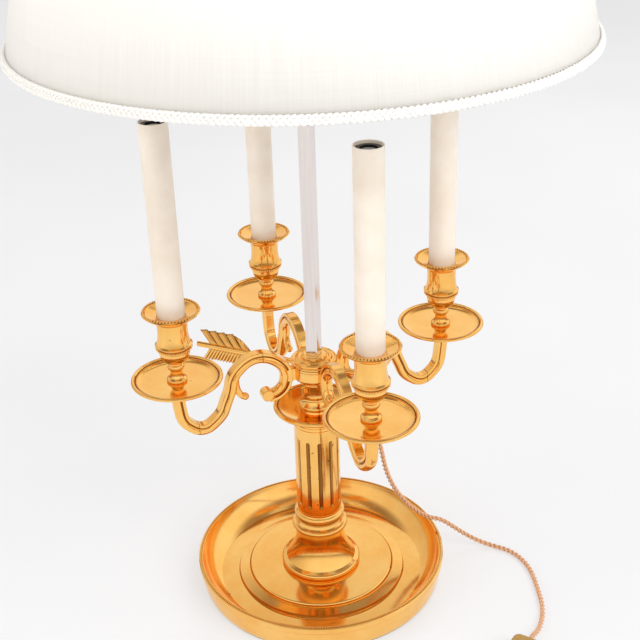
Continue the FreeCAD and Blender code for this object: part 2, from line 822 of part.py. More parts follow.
def heading(degrees):
    return V(math.cos(math.radians(degrees)), math.sin(math.radians(degrees)), 0)


def coil_point(turns):
    """A place on the coil: in on the lower layer, up in the half turn where it reverses, and out above."""
    radius = coil_outer_radius - coil_pitch * min(turns, coil_turns - turns)
    share = min(1.0, max(0.0, (turns - coil_turns_in) / coil_climb_turns))
    rise = coil_pitch * (1 - math.cos(math.pi * share)) / 2
    spoke = heading(coil_start_angle - 360 * turns)
    return V(coil_centre[0], coil_centre[1], coil_height + rise) + spoke * radius


def coil_tangent(turns):
    """The way that the coil runs at a place, level at each end of the climb."""
    nudge = 0.002
    low = max(0.0, turns - nudge)
    high = min(coil_turns, turns + nudge)
    return unit(coil_point(high) - coil_point(low))


def cord_coil():
    """The put-away length as one unbroken tube: quarter turns of two arcs each, with a straight lead."""
    steps = int(round(coil_turns * 4))
    places = [coil_turns * i / steps for i in range(steps + 1)]
    points = [coil_point(t) for t in places]
    tangents = [coil_tangent(t) for t in places]
    start = points[0] - tangents[0] * coil_lead
    end = points[-1] + tangents[-1] * coil_lead
    edges = [Part.LineSegment(start, points[0]).toShape()]
    for i in range(steps):
        edges += biarc(points[i], tangents[i], points[i + 1], tangents[i + 1])
    edges.append(Part.LineSegment(points[-1], end).toShape())
    path = Part.Wire(edges)
    solid = sweep(edges, Part.Wire([Part.makeCircle(cord_radius, start, tangents[0])]))
    samples = []
    for edge in edges:
        count = max(1, int(edge.Length / cord_radius))
        span = edge.LastParameter - edge.FirstParameter
        samples += [edge.valueAt(edge.FirstParameter + span * k / count) for k in range(count)]
    apart = 10
    gap = min((samples[i] - samples[j]).Length
              for i in range(len(samples)) for j in range(i + apart, len(samples))) - 2 * cord_radius
    print("coil length", round(path.Length, 1), "least gap to itself", round(gap, 2),
          "tightest radius", round(coil_inner_radius, 1))
    return solid, path.Length, start, end, tangents[0], tangents[-1]


def coil_tie():
    """A band round the coil's turns at one place."""
    inner = coil_inner_radius - cord_radius - tie_gap
    outer = coil_outer_radius + cord_radius + tie_gap
    low = coil_height - cord_radius - tie_gap
    high = coil_height + coil_pitch + cord_radius + tie_gap
    hole = Part.makeBox(outer - inner, tie_width + 2, high - low, V(inner, -tie_width / 2 - 1, low))
    t = tie_thickness
    band = Part.makeBox(outer - inner + 2 * t, tie_width, high - low + 2 * t,
                        V(inner - t, -tie_width / 2, low - t))
    return moved(at_angle(band.cut(hole), tie_angle), x=coil_centre[0], y=coil_centre[1])


def placed(shape, face_centre, direction):
    """A piece made along +X from the origin, put at a place and turned to a level direction."""
    turn = math.degrees(math.atan2(direction.y, direction.x))
    return moved(at_angle(shape, turn), x=face_centre.x, y=face_centre.y)


def switch_block(bottom, top, inset):
    """A rounded block along +X, from the cord's face at x = 0."""
    width = switch_width - 2 * inset
    block = Part.makeBox(switch_length - 2 * inset, width, top - bottom, V(inset, -width / 2, bottom))
    upright = [e for e in block.Edges if abs(e.Vertexes[0].Z - e.Vertexes[1].Z) > 1]
    return block.makeFillet(switch_corner - inset, upright)


def switch_pieces():
    """The in-line switch: a lower and an upper shell, and a rocker on its own axle."""
    mid = switch_length / 2
    lower = switch_block(switch_bottom, switch_split, 0)
    lower = lower.cut(switch_block(switch_bottom + switch_wall, switch_split + 5, switch_wall))
    upper = switch_block(switch_split, switch_top, 0)
    upper = upper.makeFillet(1.5, [e for e in upper.Edges
                                   if min(v.Z for v in e.Vertexes) > switch_top - 0.1])
    upper = upper.cut(switch_block(switch_split - 5, switch_top - switch_wall, switch_wall))
    reach = rocker_radius + rocker_clearance
    across = rocker_width / 2 + rocker_clearance
    cheek = 2.5
    frame = Part.makeBox(2 * reach + 4, 2 * (across + cheek), switch_top - switch_split - 1,
                         V(mid - reach - 2, -across - cheek, switch_split))
    well = Part.makeBox(2 * reach, 2 * across, 30, V(mid - reach, -across, switch_split - 5))
    pivot = V(mid, -rocker_axle_length / 2, rocker_pivot_height)
    axle_hole = Part.makeCylinder(rocker_axle_radius + rocker_axle_clearance, rocker_axle_length + 0.2,
                                  pivot - V(0, 0.1, 0), V(0, 1, 0))
    upper = upper.fuse(frame).cut([well, axle_hole])
    drum = Part.makeCylinder(rocker_radius, rocker_width, V(mid, -rocker_width / 2, rocker_pivot_height),
                             V(0, 1, 0))
    keep = Part.makeBox(2 * reach, 2 * reach, 3 * reach,
                        V(mid - reach, -reach, rocker_pivot_height - rocker_floor))
    rocker = drum.common(keep)
    top_cut = Part.makeBox(30, 20, 10, V(0, -10, 0))
    for sign in (1, -1):
        slab = top_cut.copy()
        if sign < 0:
            slab.translate(V(-30, 0, 0))
        slab.rotate(ORIGIN, V(0, 1, 0), -12 * sign)
        slab.translate(V(mid, 0, rocker_pivot_height + rocker_radius - 1.6))
        rocker = rocker.cut(slab)
    axle = Part.makeCylinder(rocker_axle_radius, rocker_axle_length, pivot, V(0, 1, 0))
    rocker.rotate(V(mid, 0, rocker_pivot_height), V(0, 1, 0), -rocker_throw / 2)
    return lower, upper, rocker.fuse(axle)


def plug():
    """A flat two-pin plug with a tapered entry for the cord, made along +X from the cord's end."""
    low = plug_axis_height - plug_thickness / 2
    nose = Part.makeCone(cord_radius + 1.2, plug_thickness / 2 - 1.2, plug_nose + 4,
                         V(0, 0, plug_axis_height), V(1, 0, 0))
    body = Part.makeBox(plug_length - plug_nose, plug_width, plug_thickness, V(plug_nose, -plug_width / 2, low))
    upright = [e for e in body.Edges if abs(e.Vertexes[0].Z - e.Vertexes[1].Z) > 1]
    body = body.makeFillet(5.0, upright)
    pins = []
    for side in (1, -1):
        pins.append(Part.makeCylinder(pin_radius, pin_length, V(plug_length, side * pin_spacing / 2,
                                                                plug_axis_height), V(1, 0, 0)))
    return body.fuse(nose), Part.makeCompound(pins)


# Build the stand
save("base_felt", tube(base_radius - 5.5, 0, 0, felt_thickness))
save("base_dish", base_dish())
save("base_washer", tube(washer_radius, tie_radius + rod_clearance,
                         base_underside - washer_thickness, base_underside))
save("base_nut", base_nut())
save("tie_rod", tube(tie_radius, tie_bore, felt_thickness + 1, rod_bottom))
save("column_foot", column_foot())
save("fluted_column", fluted_column())
save("centre_pan", centre_pan())
save("neck", neck())
save("arm_hub", arm_hub())
save("hub_cap", hub_cap())
save("square_rod", square_rod())
save("rod_finial", rod_finial())
save("terminal_block", Part.makeBox(8, 10, 9, V(-tie_radius - rod_clearance - 8.3, -5,
                                                hub_bottom + hub_floor)))

# Build each arm with what stands on it
one_arm = arm()
one_pan = drip_pan()
one_cup = candle_cup()
one_sleeve = candle_sleeve()
one_holder = lampholder()
one_stem = lampholder_stem()
one_screw = arm_screw()
for place, degrees in arm_angles.items():
    save("arm_" + place, at_angle(one_arm, degrees))
    save("drip_pan_" + place, at_angle(one_pan, degrees))
    save("candle_cup_" + place, at_angle(one_cup, degrees))
    save("candle_sleeve_" + place, at_angle(one_sleeve, degrees))
    save("lampholder_" + place, at_angle(one_holder, degrees))
angles = list(arm_angles.values())
save("lampholder_stems", Part.makeCompound([at_angle(one_stem, a) for a in angles]))
save("arm_screws", Part.makeCompound([at_angle(one_screw, a) for a in angles]))

# Build the arrow
save("arrow_shaft", arrow_shafts())
save("arrow_fletching", arrow_fletching())
save("arrow_head", arrow_head())

# Build the shade and what carries it
top_wire, top_wire_centre = wire_ring(top_wire_radius, shade_top - 4)
bottom_wire, bottom_wire_centre = wire_ring(bottom_wire_radius, shade_bottom + 4)
save("shade_panel", shade_panel())
save("shade_braid_bottom", braid(shade_bottom))
save("shade_braid_top", braid(shade_top - braid_height))
save("shade_top_wire", top_wire)
save("shade_bottom_wire", bottom_wire)
save("shade_slider", shade_slider())
save("shade_spider", shade_spider(top_wire, top_wire_centre))
save("shade_ring_nut", tube(ring_nut_radius, slider_thread_radius + thread_clearance, slider_top + spider_thickness,
                            slider_top + spider_thickness + ring_nut_height))
save("clamp_screw", clamp_screw())

# Build the cord and what is on it
save("cord_bush", cord_bush())
run, run_length = cord_tube(cord_route, "run")
save("mains_cord_run", run)
switch_face = V(*cord_route[-1])
switch_way = unit(switch_face - V(*cord_route[-2]))
switch_lower, switch_upper, rocker = switch_pieces()
save("switch_lower_shell", placed(switch_lower, switch_face, switch_way))
save("switch_upper_shell", placed(switch_upper, switch_face, switch_way))
save("switch_rocker", placed(rocker, switch_face, switch_way))
coil, coil_length, coil_in, coil_out, coil_in_way, coil_out_way = cord_coil()
save("mains_cord_coil", coil)
save("coil_tie", coil_tie())
switch_exit = switch_face + switch_way * switch_length
tail, tail_length = cord_tube([switch_exit, switch_exit + switch_way * tail_runs[0],
                               coil_in - coil_in_way * tail_runs[1], coil_in], "tail")
save("mains_cord_tail", tail)
drop = V(0, 0, plug_axis_height - coil_out.z)
end_points = [coil_out, coil_out + coil_out_way * end_runs[0],
              coil_out + coil_out_way * (end_runs[0] + end_runs[1]) + drop,
              coil_out + coil_out_way * sum(end_runs) + drop]
end_tube, end_length = cord_tube(end_points, "end")
save("mains_cord_end", end_tube)
plug_body, plug_pins = plug()
save("plug_body", placed(plug_body, end_points[-1], coil_out_way))
save("plug_pins", placed(plug_pins, end_points[-1], coil_out_way))
print("cord length through the switch",
      round(run_length + switch_length + tail_length + coil_length + end_length, 1))
for name, point in (("switch centre", switch_face + switch_way * (switch_length / 2)),
                    ("switch way", switch_way), ("coil in", coil_in), ("coil out", coil_out),
                    ("plug face", end_points[-1]), ("plug way", coil_out_way)):
    print(name, [round(c, 4) for c in point])
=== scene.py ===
# %% [markdown]
# # A gilt bouillotte lamp with four candle lights
# The metal frame of this lamp comes packed, at its real size: the dish, the fluted column, the
# arms, the pans and the cups. This lesson dresses it. It puts the camera where the photograph
# was taken, lays the twisted silk cord, sets fine bead work into every rim, models the arrow's
# feathers and the shade's plaited braid, and gives each surface the finish that it really has.

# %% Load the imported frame
import json
import math
import bpy
import bmesh
from mathutils import Matrix, Vector

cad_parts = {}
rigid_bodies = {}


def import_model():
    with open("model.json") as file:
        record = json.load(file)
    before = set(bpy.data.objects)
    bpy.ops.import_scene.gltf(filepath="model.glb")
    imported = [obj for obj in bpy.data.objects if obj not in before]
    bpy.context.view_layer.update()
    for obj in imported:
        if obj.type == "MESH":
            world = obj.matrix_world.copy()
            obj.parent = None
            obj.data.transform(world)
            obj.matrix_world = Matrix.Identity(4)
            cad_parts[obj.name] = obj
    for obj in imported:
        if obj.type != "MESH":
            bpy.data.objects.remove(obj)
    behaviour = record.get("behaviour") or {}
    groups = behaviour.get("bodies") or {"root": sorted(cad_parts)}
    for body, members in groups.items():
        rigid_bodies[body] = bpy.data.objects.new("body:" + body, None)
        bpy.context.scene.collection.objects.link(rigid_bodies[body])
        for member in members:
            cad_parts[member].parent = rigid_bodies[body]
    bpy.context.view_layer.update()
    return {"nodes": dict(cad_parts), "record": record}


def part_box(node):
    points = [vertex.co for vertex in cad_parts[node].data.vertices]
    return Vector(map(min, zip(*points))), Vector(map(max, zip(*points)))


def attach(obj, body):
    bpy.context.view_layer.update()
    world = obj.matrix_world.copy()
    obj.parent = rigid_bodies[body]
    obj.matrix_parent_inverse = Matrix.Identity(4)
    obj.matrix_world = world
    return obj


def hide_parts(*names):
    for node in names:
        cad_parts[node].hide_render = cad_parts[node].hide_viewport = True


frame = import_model()
MM = 0.001

# %% [markdown]
# ## The camera
# A camera is a place, a heading and a lens. The place was found by fitting the round pans and the
# candle sleeves, whose real sizes are known. The photograph looks about 27 degrees down, and leans
# a little, which is kept as a roll. The lens follows from how large a sleeve looks at its distance.

# %% Place the camera
camera_place = Vector((384.6, -843.0, 748.5)) * MM
camera_heading = math.radians(-24.131)
camera_pitch = math.radians(26.986)
camera_roll = math.radians(-1.838)
camera_lens = 65.92
forward = Vector((math.sin(camera_heading) * math.cos(camera_pitch),
                  math.cos(camera_heading) * math.cos(camera_pitch),
                  -math.sin(camera_pitch)))
level_right = Vector((math.cos(camera_heading), -math.sin(camera_heading), 0))
level_up = level_right.cross(forward)
right = math.cos(camera_roll) * level_right + math.sin(camera_roll) * level_up
up = -math.sin(camera_roll) * level_right + math.cos(camera_roll) * level_up
bpy.ops.object.camera_add()
camera = bpy.context.object
turned = Matrix((right, up, -forward)).transposed().to_4x4()
camera.matrix_world = Matrix.Translation(camera_place) @ turned
camera.data.lens = camera_lens
camera.data.sensor_width = 36
camera.data.clip_start = 0.01
bpy.context.scene.camera = camera
print("camera looks along", [round(c, 3) for c in forward])

# %% [markdown]
# ## Small helpers
# Blender's operators act on whatever is selected, so each helper first clears the selection. A
# finished piece keeps its place in its mesh and its object at the origin, which keeps patterns
# that read object coordinates in register.

# %% Helpers for objects
def clear_selection():
    for thing in bpy.context.view_layer.objects:
        thing.select_set(False)


def make_active(thing):
    clear_selection()
    thing.select_set(True)
    bpy.context.view_layer.objects.active = thing


def settle(thing, name):
    """Puts the place into the mesh, names the piece and shades it smooth."""
    make_active(thing)
    if thing.type != "MESH":
        bpy.ops.object.convert(target="MESH")
        thing = bpy.context.object
    bpy.ops.object.transform_apply(location=True, rotation=True, scale=True)
    thing.name = name
    bpy.ops.object.shade_smooth()
    return thing


def mesh_piece(name, points, faces):
    """A piece from its points and faces, in metres."""
    mesh = bpy.data.meshes.new(name)
    mesh.from_pydata([tuple(p) for p in points], [], faces)
    mesh.update()
    thing = bpy.data.objects.new(name, mesh)
    bpy.context.scene.collection.objects.link(thing)
    make_active(thing)
    bpy.ops.object.shade_smooth()
    return thing


def dress(thing, body, material):
    """Gives a piece its finish and the body that it moves with."""
    thing.data.materials.clear()
    thing.data.materials.append(material)
    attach(thing, body)
    return thing


def turned_copy(thing, name, degrees):
    """A copy with its own mesh, turned about the lamp's axis."""
    copy = thing.copy()
    copy.data = thing.data.copy()
    copy.name = name
    bpy.context.scene.collection.objects.link(copy)
    copy.data.transform(Matrix.Rotation(math.radians(degrees), 4, "Z"))
    return copy


# %% Helpers for materials
def colour(code):
    """An sRGB hex value as the linear colour that shaders work in."""
    channels = [int(code[i:i + 2], 16) / 255 for i in (1, 3, 5)]
    linear = [c / 12.92 if c <= 0.04045 else ((c + 0.055) / 1.055) ** 2.4 for c in channels]
    return (*linear, 1.0)


def add_node(tree, kind, links=None, values=None, stops=None, **settings):
    """One node with its settings, its input values, its incoming links and its colour stops."""
    node = tree.nodes.new(kind)
    for key, value in settings.items():
        setattr(node, key, value)
    for key, value in (values or {}).items():
        node.inputs[key].default_value = value
    for key, source in (links or {}).items():
        tree.links.new(source, node.inputs[key])
    if stops:
        elements = node.color_ramp.elements
        elements[0].position, elements[1].position = stops[0][0], stops[-1][0]
        for position, _ in stops[1:-1]:
            elements.new(position)
        for element, (_, code) in zip(elements, stops):
            element.color = colour(code)
    return node


def new_material(name):
    material = bpy.data.materials.new(name)
    material.use_nodes = True
    tree = material.node_tree
    tree.nodes.clear()
    shader = add_node(tree, "ShaderNodeBsdfPrincipled")
    add_node(tree, "ShaderNodeOutputMaterial", links={"Surface": shader.outputs[0]})
    place = add_node(tree, "ShaderNodeTexCoord").outputs["Object"]
    return material, tree, shader, place


# %% [markdown]
# ## Gilt brass
# The stand is cast and turned brass, fire gilt and burnished. Gilding gives a warm orange gold
# that mirrors its surroundings a little softly. Burnishing leaves broad soft waves, and handling
# leaves small brown specks where the gold is thin. Both come from noise at real sizes.

# %% Gilt brass and other metals
def distance_from_axis(tree, place):
    """How far a point is from the lamp's upright axis, in metres."""
    flat = add_node(tree, "ShaderNodeVectorMath", operation="MULTIPLY", links={0: place},
                    values={1: (1.0, 1.0, 0.0)})
    return add_node(tree, "ShaderNodeVectorMath", operation="LENGTH",
                    links={0: flat.outputs[0]}).outputs["Value"]


flute_floor = 19.5
flute_lip = 20.7


def fluted(tree, place):
    """Painted shade in the flutes: 0.85 on the floor of a flute and 0 on the column's face."""
    return add_node(tree, "ShaderNodeMapRange", links={"Value": distance_from_axis(tree, place)},
                    values={"From Min": flute_floor * MM, "From Max": flute_lip * MM, "To Min": 0.85,
                            "To Max": 0.0}).outputs["Result"]


# how far out each seam lies, and on which side of which height it is found
arm_seams = ((49.9, "GREATER_THAN", 242.0), (112.3, "LESS_THAN", 203.0))
seam_half_width = 0.22


def casting_seams(tree, place):
    """1 on the two hairline joints of each arm, which is cast in three lengths."""
    reach = distance_from_axis(tree, place)
    height = add_node(tree, "ShaderNodeSeparateXYZ", links={"Vector": place}).outputs["Z"]
    marks = []
    for seam_reach, operation, limit in arm_seams:
        near = add_node(tree, "ShaderNodeMath", operation="COMPARE", links={0: reach},
                        values={1: seam_reach * MM, 2: seam_half_width * MM})
        there = add_node(tree, "ShaderNodeMath", operation=operation, links={0: height},
                         values={1: limit * MM})
        marks.append(add_node(tree, "ShaderNodeMath", operation="MULTIPLY",
                              links={0: near.outputs[0], 1: there.outputs[0]}).outputs[0])
    return add_node(tree, "ShaderNodeMath", operation="MAXIMUM",
                    links={0: marks[0], 1: marks[1]}).outputs[0]


def carved(tree, place):
    """Painted shade: 1 in the cut strokes of a piece that carries a stroke attribute."""
    return add_node(tree, "ShaderNodeAttribute", attribute_name="stroke").outputs["Fac"]


def gilt_brass(name, light="#FFCC78", deep="#F9B95E", rough=0.11, specks=0.72, dark_part=None):
    """Fire gilt brass: tone patches of about 36 mm, polish waves of 17 mm and specks of 5 mm."""
    material, tree, shader, place = new_material(name)
    patches = add_node(tree, "ShaderNodeTexNoise", links={"Vector": place},
                       values={"Scale": 28.0, "Detail": 4.0, "Roughness": 0.6})
    tone = add_node(tree, "ShaderNodeValToRGB", links={"Fac": patches.outputs["Fac"]},
                    stops=[(0.3, deep), (0.7, light)]).outputs["Color"]
    speck_noise = add_node(tree, "ShaderNodeTexNoise", links={"Vector": place},
                           values={"Scale": 210.0, "Detail": 3.0, "Roughness": 0.55})
    dark = add_node(tree, "ShaderNodeMapRange", links={"Value": speck_noise.outputs["Fac"]},
                    values={"From Min": specks, "From Max": specks + 0.06, "To Min": 0.0,
                            "To Max": 1.0}).outputs["Result"]
    # dark_part adds the arms' dark casting seams, and painted shade on flute floors and in cut strokes
    if dark_part:
        dark = add_node(tree, "ShaderNodeMath", operation="MAXIMUM",
                        links={0: dark, 1: dark_part(tree, place)}).outputs[0]
    mixed = add_node(tree, "ShaderNodeMix", data_type="RGBA")
    tree.links.new(dark, mixed.inputs[0])
    tree.links.new(tone, mixed.inputs[6])
    mixed.inputs[7].default_value = colour("#6E421C")
    tree.links.new(mixed.outputs[2], shader.inputs["Base Color"])
    polish = add_node(tree, "ShaderNodeTexNoise", links={"Vector": place},
                      values={"Scale": 60.0, "Detail": 5.0, "Roughness": 0.65})
    gloss = add_node(tree, "ShaderNodeMapRange", links={"Value": polish.outputs["Fac"]},
                     values={"From Min": 0.3, "From Max": 0.75, "To Min": rough * 0.75,
                             "To Max": rough * 1.6}).outputs["Result"]
    tree.links.new(gloss, shader.inputs["Roughness"])
    bump = add_node(tree, "ShaderNodeBump", links={"Height": polish.outputs["Fac"]},
                    values={"Strength": 0.12, "Distance": 0.2 * MM})
    tree.links.new(bump.outputs["Normal"], shader.inputs["Normal"])
    shader.inputs["Metallic"].default_value = 1.0
    return material


gilt = gilt_brass("burnished_gilt_brass")
# the column's gilt carries painted shade on its flute floors
gilt_fluted = gilt_brass("gilt_brass_fluted", specks=0.66, dark_part=fluted)
gilt_arm = gilt_brass("gilt_brass_cast_arm", dark_part=casting_seams)
# gilt with painted shade in the cut strokes of the feathers
gilt_carved = gilt_brass("gilt_brass_carved", dark_part=carved)
# dark gilt for the tubes in the arm grooves and the rings at bead roots: painted shade, with some
# patina
gilt_recess_shade = gilt_brass("gilt_brass_recess_shade_and_patina", light="#8A5220", deep="#6A3B14", rough=0.3)


def nickel_plate():
    """Polished nickel over steel: a neutral mirror with faint draw lines along the bar."""
    material, tree, shader, place = new_material("polished_nickel_plate")
    stretch = add_node(tree, "ShaderNodeMapping", links={"Vector": place},
                       values={"Scale": (1.0, 1.0, 0.03)})
    lines = add_node(tree, "ShaderNodeTexNoise", links={"Vector": stretch.outputs["Vector"]},
                     values={"Scale": 500.0, "Detail": 2.0})
    tone = add_node(tree, "ShaderNodeValToRGB", links={"Fac": lines.outputs["Fac"]},
                    stops=[(0.3, "#E2D8D4"), (0.7, "#E9E1DD")]).outputs["Color"]
    tree.links.new(tone, shader.inputs["Base Color"])
    gloss = add_node(tree, "ShaderNodeMapRange", links={"Value": lines.outputs["Fac"]},
                     values={"From Min": 0.3, "From Max": 0.7, "To Min": 0.10,
                             "To Max": 0.14}).outputs["Result"]
    tree.links.new(gloss, shader.inputs["Roughness"])
    shader.inputs["Metallic"].default_value = 1.0
    return material


def zinc_steel():
    """Zinc plated fixings and wire: pale grey, dull, slightly mottled."""
    material, tree, shader, place = new_material("zinc_plated_steel")
    mottle = add_node(tree, "ShaderNodeTexNoise", links={"Vector": place},
                      values={"Scale": 150.0, "Detail": 4.0})
    tone = add_node(tree, "ShaderNodeValToRGB", links={"Fac": mottle.outputs["Fac"]},
                    stops=[(0.3, "#8F8E8A"), (0.7, "#B9B8B3")]).outputs["Color"]
    tree.links.new(tone, shader.inputs["Base Color"])
    gloss = add_node(tree, "ShaderNodeMapRange", links={"Value": mottle.outputs["Fac"]},
                     values={"From Min": 0.3, "From Max": 0.7, "To Min": 0.28,
                             "To Max": 0.45}).outputs["Result"]
    tree.links.new(gloss, shader.inputs["Roughness"])
    shader.inputs["Metallic"].default_value = 1.0
    return material


nickel = nickel_plate()
zinc = zinc_steel()

# %% [markdown]
# ## Candles, plastic, felt and cloth
# The candle sleeves are satin ivory card or plastic, so light sinks in a little. The lampholders
# are black moulded resin. The felt under the foot is matted wool. Every one gets its own fine
# structure, at the size that the real one has or as small as a render can show.

# %% Ivory, resin and felt
def ivory_sleeve():
    """Satin ivory card: a soft sheen, with faint clouds where light sinks in."""
    material, tree, shader, place = new_material("satin_ivory_candle_sleeve")
    cloud = add_node(tree, "ShaderNodeTexNoise", links={"Vector": place},
                     values={"Scale": 35.0, "Detail": 5.0})
    tone = add_node(tree, "ShaderNodeValToRGB", links={"Fac": cloud.outputs["Fac"]},
                    stops=[(0.3, "#EADCCB"), (0.7, "#F3E9DC")]).outputs["Color"]
    tree.links.new(tone, shader.inputs["Base Color"])
    grain = add_node(tree, "ShaderNodeTexNoise", links={"Vector": place},
                     values={"Scale": 700.0, "Detail": 2.0})
    bump = add_node(tree, "ShaderNodeBump", links={"Height": grain.outputs["Fac"]},
                    values={"Strength": 0.06, "Distance": 0.2 * MM})
    tree.links.new(bump.outputs["Normal"], shader.inputs["Normal"])
    shader.inputs["Roughness"].default_value = 0.42
    shader.inputs["Subsurface Weight"].default_value = 0.12
    shader.inputs["Subsurface Radius"].default_value = (4 * MM, 3 * MM, 2 * MM)
    return material


def moulded(name, low, high, rough):
    """Moulded resin with a faint orange-peel skin."""
    material, tree, shader, place = new_material(name)
    skin = add_node(tree, "ShaderNodeTexNoise", links={"Vector": place},
                    values={"Scale": 400.0, "Detail": 3.0})
    tone = add_node(tree, "ShaderNodeValToRGB", links={"Fac": skin.outputs["Fac"]},
                    stops=[(0.3, low), (0.7, high)]).outputs["Color"]
    tree.links.new(tone, shader.inputs["Base Color"])
    bump = add_node(tree, "ShaderNodeBump", links={"Height": skin.outputs["Fac"]},
                    values={"Strength": 0.15, "Distance": 0.2 * MM})
    tree.links.new(bump.outputs["Normal"], shader.inputs["Normal"])
    shader.inputs["Roughness"].default_value = rough
    return material


def wool_felt():
    """Matted green wool: no gloss, and a fuzzy edge from its sheen."""
    material, tree, shader, place = new_material("matted_wool_felt")
    fibres = add_node(tree, "ShaderNodeTexNoise", links={"Vector": place},
                      values={"Scale": 900.0, "Detail": 6.0, "Distortion": 1.5})
    tone = add_node(tree, "ShaderNodeValToRGB", links={"Fac": fibres.outputs["Fac"]},
                    stops=[(0.3, "#2C3A24"), (0.7, "#46573A")]).outputs["Color"]
    tree.links.new(tone, shader.inputs["Base Color"])
    bump = add_node(tree, "ShaderNodeBump", links={"Height": fibres.outputs["Fac"]},
                    values={"Strength": 0.5, "Distance": 0.4 * MM})
    tree.links.new(bump.outputs["Normal"], shader.inputs["Normal"])
    shader.inputs["Roughness"].default_value = 0.95
    shader.inputs["Sheen Weight"].default_value = 0.3
    return material


ivory = ivory_sleeve()
black_resin = moulded("black_phenolic_resin", "#0C0C0D", "#19191B", 0.3)
gold_resin = moulded("gold_tinted_resin", "#A17C3C", "#B8914B", 0.35)
felt = wool_felt()


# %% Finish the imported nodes
def paint(nodes, material):
    for name in nodes:
        thing = frame["nodes"][name]
        thing.data.materials.clear()
        thing.data.materials.append(material)


slot_finish = {"gilt_brass": gilt, "rod_nickel": nickel, "zinc_steel": zinc, "ivory_card": ivory,
               "black_bakelite": black_resin, "felt": felt, "gold_plastic": gold_resin}
slot_of = {part["node"]: part["material_slot"] for part in frame["record"]["subparts"]}
for slot_name, finish in slot_finish.items():
    paint([n for n in frame["nodes"] if slot_of[n] == slot_name], finish)
paint(["fluted_column"], gilt_fluted)
paint([n for n in frame["nodes"]
       if n.startswith("arm_") and slot_of[n] == "gilt_brass" and n != "arm_hub"], gilt_arm)

# %% [markdown]
# ## The silk cord
# A table lamp has about 1.8 m of flex. Here it is two silk covered cores twisted together. It
# leaves the column's side under the middle pan, hangs in a soft curve past the arm, crosses the
# dish's rim in a low hump and lies on the table. What the photograph doesn't show is wound in a
# neat coil beyond the picture's lower edge, with the switch before it and the plug after it. The
# line is one smooth spline, and the two cores wind round it.

# %% The cord's route
cord_route = [
    (21.4, 18.0, 166.0), (32.2, 27.0, 166.0), (39.8, 32.8, 159.5), (45.8, 36.4, 146.0),
    (49.5, 38.7, 128.0), (52.7, 40.5, 106.0), (58.9, 44.8, 84.0), (68.1, 51.7, 64.5),
    (78.8, 59.9, 49.0), (90.4, 68.2, 38.0), (99.3, 73.9, 35.6), (113.2, 81.9, 21.5),
    (128.0, 88.1, 9.5), (144.7, 92.4, 2.6), (169.3, 91.5, 2.6), (191.5, 74.1, 2.6),
    (207.0, 44.9, 2.6), (219.5, 17.0, 2.6), (222.4, -9.3, 2.6), (219.6, -27.1, 7.5),
    (218.1, -37.0, 7.5),
]
coil_centre = Vector((161.0, -135.8, 0))
coil_outer_radius = 38.5
coil_pitch = 5.6
coil_turns_in = 3.25
coil_climb_turns = 0.5
coil_turns = 2 * coil_turns_in + coil_climb_turns
coil_height = 3.7
coil_start_angle = 24.525 - 40.0
coil_lead = 5.0
coil_approach = 18.0
switch_inside = (20.0, 42.0)
switch_lead = 9.0
switch_length = 62.0
plug_axis_height = 7.0
plug_rise = (8.0, 18.0, 26.0)
points_per_turn = 16
corner_cut = math.cos(math.pi / points_per_turn)


def coil_point(turns):
    """In on the lower layer, up in the half turn where it reverses, and out above."""
    radius = (coil_outer_radius - coil_pitch * min(turns, coil_turns - turns)) / corner_cut
    share = min(1.0, max(0.0, (turns - coil_turns_in) / coil_climb_turns))
    rise = coil_height + coil_pitch * (1 - math.cos(math.pi * share)) / 2
    angle = math.radians(coil_start_angle - 360 * turns)
    return coil_centre + Vector((radius * math.cos(angle), radius * math.sin(angle), rise))


steps = int(coil_turns * points_per_turn)
coil_points = [coil_point(coil_turns * i / steps) for i in range(steps + 1)]
way_in = (coil_point(0.002) - coil_point(0)).normalized()
way_out = (coil_point(coil_turns) - coil_point(coil_turns - 0.002)).normalized()
switch_face = Vector(cord_route[-1])
switch_way = (switch_face - Vector(cord_route[-2])).normalized()
switch_exit = switch_face + switch_way * switch_length
coil_start = coil_points[0] - way_in * coil_lead
coil_end = coil_points[-1] + way_out * coil_lead
drop = Vector((0, 0, plug_axis_height - coil_end.z))
plug_face = coil_end + way_out * plug_rise[2] + drop
route = [Vector(p) for p in cord_route]
route += [switch_face + switch_way * run for run in switch_inside] + [switch_exit]
route += [switch_exit + switch_way * switch_lead, coil_start - way_in * coil_approach, coil_start]
route += coil_points
route += [coil_end, coil_end + way_out * plug_rise[0],
          coil_end + way_out * plug_rise[1] + drop, plug_face]


def spline_points(name, points):
    """The points of a smooth spline through this route, read from its curve."""
    curve = bpy.data.curves.new(name, "CURVE")
    curve.dimensions = "3D"
    spline = curve.splines.new("NURBS")
    spline.points.add(len(points) - 1)
    for point, place in zip(spline.points, points):
        point.co = (*(place * MM), 1.0)
    spline.order_u = 3
    spline.use_endpoint_u = True
    curve.resolution_u = 8
    line = bpy.data.objects.new(name, curve)
    bpy.context.scene.collection.objects.link(line)
    bpy.context.view_layer.update()
    shaped = line.evaluated_get(bpy.context.evaluated_depsgraph_get())
    mesh = bpy.data.meshes.new_from_object(shaped)
    places = [v.co.copy() for v in mesh.vertices]
    bpy.data.objects.remove(line)
    return places


def evenly(points, spacing):
    """The same line with its points evenly spaced."""
    lengths = [0.0]
    for a, b in zip(points, points[1:]):
        lengths.append(lengths[-1] + (b - a).length)
    count = int(lengths[-1] / spacing)
    result = []
    k = 0
    for i in range(count + 1):
        target = lengths[-1] * i / count
        while k < len(points) - 2 and lengths[k + 1] < target:
            k += 1
        part = (target - lengths[k]) / max(1e-12, lengths[k + 1] - lengths[k])
        result.append(points[k].lerp(points[k + 1], part))
    return result, lengths[-1]


# %% [markdown]
# ## Two cores in a twist
# Each core is a round tube that winds round the cord's line, once in every lay. The line turns as it
# goes, so a side vector is carried along it that never spins, and the winding is measured from that.

